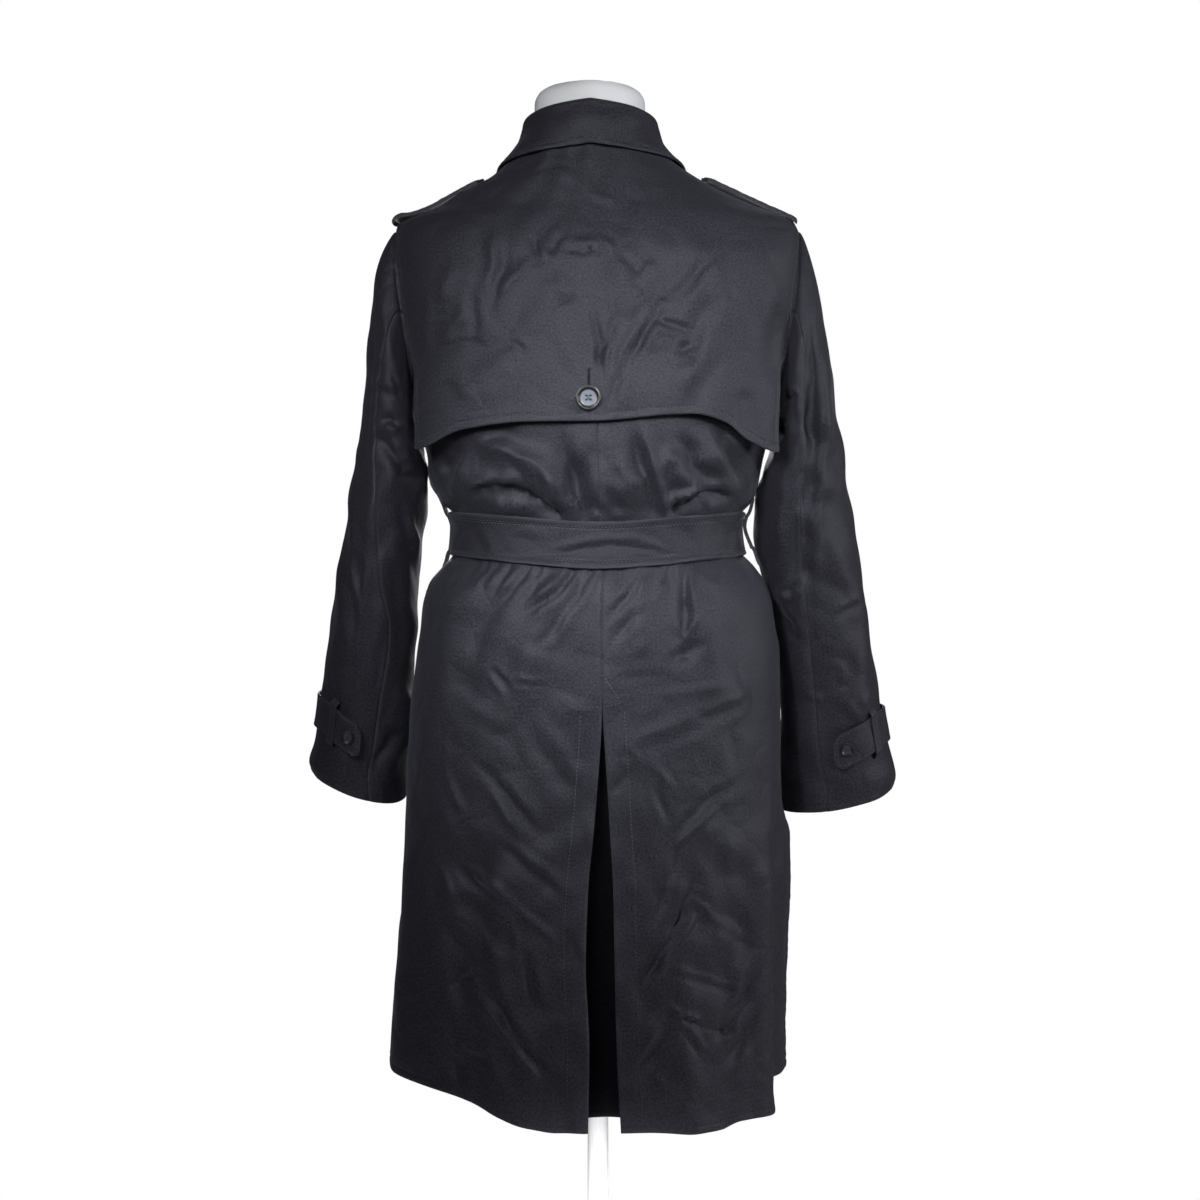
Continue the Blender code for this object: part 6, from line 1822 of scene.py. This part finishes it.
FRONT_CREASES = [
    (300, 1150, 345, 1060, 3, 9), (330, 1170, 375, 1070, -3, 8), (262, 1120, 300, 1045, -3.2, 8),
    (395, 1150, 410, 1055, 2, 8), (300, 1010, 280, 900, -2.4, 6), (330, 1010, 322, 880, 2.2, 7),
    (360, 1005, 365, 905, -1.8, 6), (400, 1000, 410, 900, 1.5, 7), (270, 860, 330, 740, 1.8, 7),
    (285, 850, 345, 735, -1.8, 7), (380, 800, 350, 650, -1.8, 7), (400, 790, 372, 660, 1.6, 7),
    (300, 690, 350, 600, 2, 6), (312, 680, 360, 590, -2, 6), (420, 640, 380, 540, 1.6, 6),
    (260, 600, 300, 530, -1.5, 6), (450, 760, 440, 640, 0.9, 8), (340, 1300, 300, 1230, 1.4, 8),
    (330, 1290, 290, 1215, -1.4, 8), (290, 560, 340, 520, 1.2, 5), (-300, 1150, -335, 1060, -3, 8),
    (-325, 1165, -365, 1065, 3, 9), (-265, 1110, -295, 1050, 3, 8),
    (-390, 1150, -400, 1060, -1.8, 8), (-290, 1010, -275, 890, 2.2, 6),
    (-315, 1010, -310, 900, -2.2, 6), (-350, 1010, -352, 885, 1.8, 7),
    (-395, 1000, -400, 910, -1.4, 7), (-265, 840, -325, 720, -1.8, 7),
    (-282, 850, -340, 725, 1.8, 7), (-370, 790, -345, 660, 1.8, 7),
    (-390, 780, -362, 650, -1.6, 7), (-300, 680, -345, 580, -2, 6), (-315, 690, -358, 590, 1.8, 6),
    (-420, 660, -385, 560, -1.5, 6), (-255, 610, -300, 540, 1.5, 6),
    (-455, 700, -440, 610, 0.9, 8), (-345, 1300, -305, 1225, -1.4, 8),
    (-330, 1305, -290, 1235, 1.2, 8), (-430, 560, -380, 530, 1, 5),
]
SLEEVE_CREASES = {
    1: [
        (229, 1149, 210, 1123, -7.8, 6.3), (210, 1123, 191, 1100, -7.8, 7.2),
        (232, 1155, 206, 1160, 4.7, 4), (226, 1171, 209, 1163, -3.9, 3.6),
        (235, 1163, 223, 1178, 2.1, 4.5), (257, 1104, 260, 1015, 2.3, 2.7),
        (260, 1015, 250, 963, 2.1, 2.7), (250, 963, 253, 876, 1.6, 2.7),
        (265, 1083, 268, 1020, -1.6, 4.5), (248, 1083, 248, 978, -1.6, 4.5),
        (197, 1069, 188, 1015, 2.9, 3.1), (206, 1083, 197, 1020, -2.3, 4.5),
        (243, 1034, 249, 944, 1.8, 3.6), (234, 1020, 239, 936, -1.6, 4.5),
        (208, 845, 233, 805, -3.9, 4.5), (204, 829, 221, 793, 2.3, 4.5),
        (236, 1199, 207, 1190, -2.6, 4.5), (237, 1207, 210, 1203, 1.8, 4.5),
        (224, 1241, 212, 1217, 1.3, 5.4), (244, 1293, 237, 1230, 1, 7.2),
        (223, 1314, 216, 1262, -1, 7.2), (268, 894, 258, 902, 1, 3.6),
        (221, 1078, 212, 1020, 1.6, 5.4), (213, 1009, 207, 936, -1.8, 5.4),
        (271, 978, 277, 915, 1.2, 5.4), (260, 925, 265, 873, -1, 4.5),
        (203, 881, 203, 827, 9.1, 8.1), (245, 915, 250, 883, 0.9, 3.6),
        (225, 936, 235, 873, -1, 5.4), (275, 826, 260, 799, 0.8, 5.4),
        (208, 894, 216, 852, 1.6, 5.4), (253, 1157, 258, 1115, 1.3, 5.4),
        (245, 1178, 249, 1136, -1.2, 5.4),
    ],
    -1: [
        (-228, 1266, -226, 1201, -7.2, 5.9), (-226, 1201, -224, 1130, -7.8, 6.8),
        (-235, 1251, -239, 1146, 4.2, 7.2), (-235, 1132, -231, 1062, 4.7, 5.4),
        (-231, 1062, -228, 1004, 4.2, 5.4), (-212, 1209, -215, 1136, 3.4, 4.5),
        (-218, 1115, -216, 1020, -3.4, 5.4), (-209, 1086, -204, 1004, -2.9, 5.4),
        (-195, 1104, -190, 1020, 3.1, 5.4), (-202, 1201, -216, 1191, 2.9, 3.6),
        (-186, 1172, -195, 1146, -3.4, 4.5), (-197, 1188, -208, 1196, -2.6, 3.6),
        (-182, 986, -204, 979, 3.4, 3.6), (-204, 979, -213, 991, 2.9, 3.6),
        (-187, 970, -209, 938, -4.2, 4.5), (-200, 999, -193, 978, 2.1, 4.5),
        (-244, 966, -275, 981, 1.3, 3.6), (-246, 959, -277, 974, -1.2, 3.6),
        (-247, 892, -263, 886, -1.8, 3.6), (-219, 880, -237, 872, 1.7, 3.1),
        (-257, 873, -275, 854, 1.6, 3.6), (-252, 865, -267, 848, -1.3, 3.6),
        (-215, 1009, -213, 957, 2.3, 3.6), (-225, 988, -223, 925, -1.6, 5.4),
        (-256, 1020, -265, 978, 1.2, 7.2), (-246, 1083, -252, 1020, -1.2, 7.2),
        (-271, 936, -277, 883, 1, 5.4), (-235, 936, -250, 925, 0.9, 3.6),
        (-237, 920, -265, 913, -1, 4.5), (-244, 915, -263, 902, 1, 4.5),
        (-207, 841, -212, 799, 1.2, 5.4), (-239, 794, -260, 789, 0.8, 4.5),
        (-218, 1325, -222, 1262, -1.2, 6.3), (-210, 1314, -212, 1262, 1, 5.4),
        (-254, 1167, -260, 1104, 1.3, 7.2), (-197, 818, -197, 760, 7.8, 8.1),
        (-212, 936, -218, 883, 1, 4.5), (-288, 883, -277, 867, 1, 3.6),
        (-212, 1125, -209, 1096, -1.6, 2.7),
    ],
}
SLEEVE_FRONT_CREASES = [
    (-110, 120, -60, 200, 2.2, 7), (-100, 140, -50, 225, -2, 7), (-120, 300, -50, 330, -3, 6),
    (-118, 318, -48, 350, 2.6, 6), (-110, 360, -60, 385, -2.4, 5), (-80, 80, -75, 180, -1.2, 8),
    (-60, 420, -50, 520, 1.4, 7), (-90, 430, -80, 530, -1.2, 7), (-30, 250, -25, 380, 1.2, 8),
    (-120, 240, -70, 262, 1.6, 6),
]


# ---------------------------------------------------------------- studio
SOFT_LIGHT = 0.02
LIGHTS = [  # name, place, aim, size, power, spread in degrees
    ("side_window", (-2.4, 0.6, 1.5), (0, 0, 1.0), 1.2, 26, 180),
    ("left_beam", (0.7, 1.7, 1.75), (0, 0.1, 1.15), 0.7, 2.2, 70),
    ("left_hip_spot", (0.7, 1.6, 2.1), (0.02, 0.1, 0.93), 0.25, 0.20, 14),
    ("left_flap_spot", (0.8, 1.9, 1.75), (0, 0.1, 1.24), 0.3, 0.10, 20),
    ("right_hip_spot", (-0.8, 1.6, 2.1), (-0.07, 0.1, 0.93), 0.25, 0.12, 14),
    ("right_flap_spot", (-0.5, 1.9, 1.9), (-0.06, 0.1, 1.24), 0.3, 0.36, 18),
    ("front_left", (0.35, -2.9, 1.6), (0, 0, 1.0), 0.8, 24, 180),
    ("front_right", (-0.5, -2.8, 1.2), (0, 0, 1.0), 0.8, 10, 180),
    ("neck_spot", (0.0, 1.5, 2.0), (0.0, 0.03, 1.545), 0.03, 0.008, 3),
    ("stand_beam", (0.0, 1.3, 0.16), (0, 0.0, 0.22), 0.12, 1.0, 24),
]
FLOOR_RADIUS, FLOOR_THICK = 1.2, 0.02
FLOOR_TOP = -0.0001
FLOOR_GLOW = 0.22


def lay_floor():
    bpy.ops.mesh.primitive_cylinder_add(
        vertices=128, radius=FLOOR_RADIUS, depth=FLOOR_THICK,
        location=(0, 0, FLOOR_TOP - FLOOR_THICK / 2),
    )
    floor = bpy.context.object
    floor.name = "studio_floor"
    finish, shader, _ = new_finish("studio_white")
    for socket, value in (
        ("Base Color", (0.90, 0.90, 0.90, 1)), ("Roughness", 0.9),
        ("Emission Color", (1, 1, 1, 1)), ("Emission Strength", FLOOR_GLOW),
    ):
        shader.inputs[socket].default_value = value
    floor.data.materials.append(finish)


def hang_light(name, place, aim, size, power, spread):
    lamp = bpy.data.lights.new(name, "AREA")
    lamp.shape = "SQUARE"
    lamp.size = size
    lamp.energy = power
    lamp.spread = math.radians(spread)
    thing = put(name, lamp)
    thing.location = place
    thing.rotation_euler = (Vector(aim) - Vector(place)).to_track_quat("-Z", "Y").to_euler()


def light_studio():
    """Surroundings that look white but light the coat only faintly, and the lights."""
    world = bpy.data.worlds.new("studio_air")
    world.use_nodes = True
    nodes = world.node_tree.nodes
    air = nodes["Background"]
    air.inputs["Color"].default_value = (1, 1, 1, 1)
    seen = nodes.new("ShaderNodeLightPath")
    level = nodes.new("ShaderNodeMapRange")
    level.inputs["To Min"].default_value = SOFT_LIGHT
    level.inputs["To Max"].default_value = 1.0
    world.node_tree.links.new(seen.outputs["Is Camera Ray"], level.inputs["Value"])
    world.node_tree.links.new(level.outputs[0], air.inputs["Strength"])
    bpy.context.scene.world = world
    for name, place, aim, size, power, spread in LIGHTS:
        hang_light(name, place, aim, size, power, spread)
    bpy.context.scene.view_settings.view_transform = "Standard"


EYE_SENSOR, EYE_LENS = 36.0, 72.0  # in millimetres
EYE_SHIFT = (2.0 / 1200, -80.0 / 1200)  # in shares of the view's width


def set_camera():
    eye = bpy.data.cameras.new("camera")
    eye.sensor_width = EYE_SENSOR
    eye.lens = EYE_LENS
    eye.shift_x, eye.shift_y = EYE_SHIFT
    thing = put("camera", eye)
    thing.location = (0.0, VIEW_BACK, VIEW_HEIGHT)
    thing.rotation_euler = (math.radians(90), 0, math.radians(180))
    bpy.context.scene.camera = thing


set_camera()
light_studio()
lay_floor()
make_form()
refinish(LACQUER, "stand_pole", "stand_base")
make_backs()
make_underlay()
make_fronts()
make_lapels()
make_storm_flap()
make_collar()
make_sleeves()
make_belt()
make_belt_loops()
make_epaulettes()
refinish(LEATHER, "buckle", "buckle_prong")
sew_buttons()
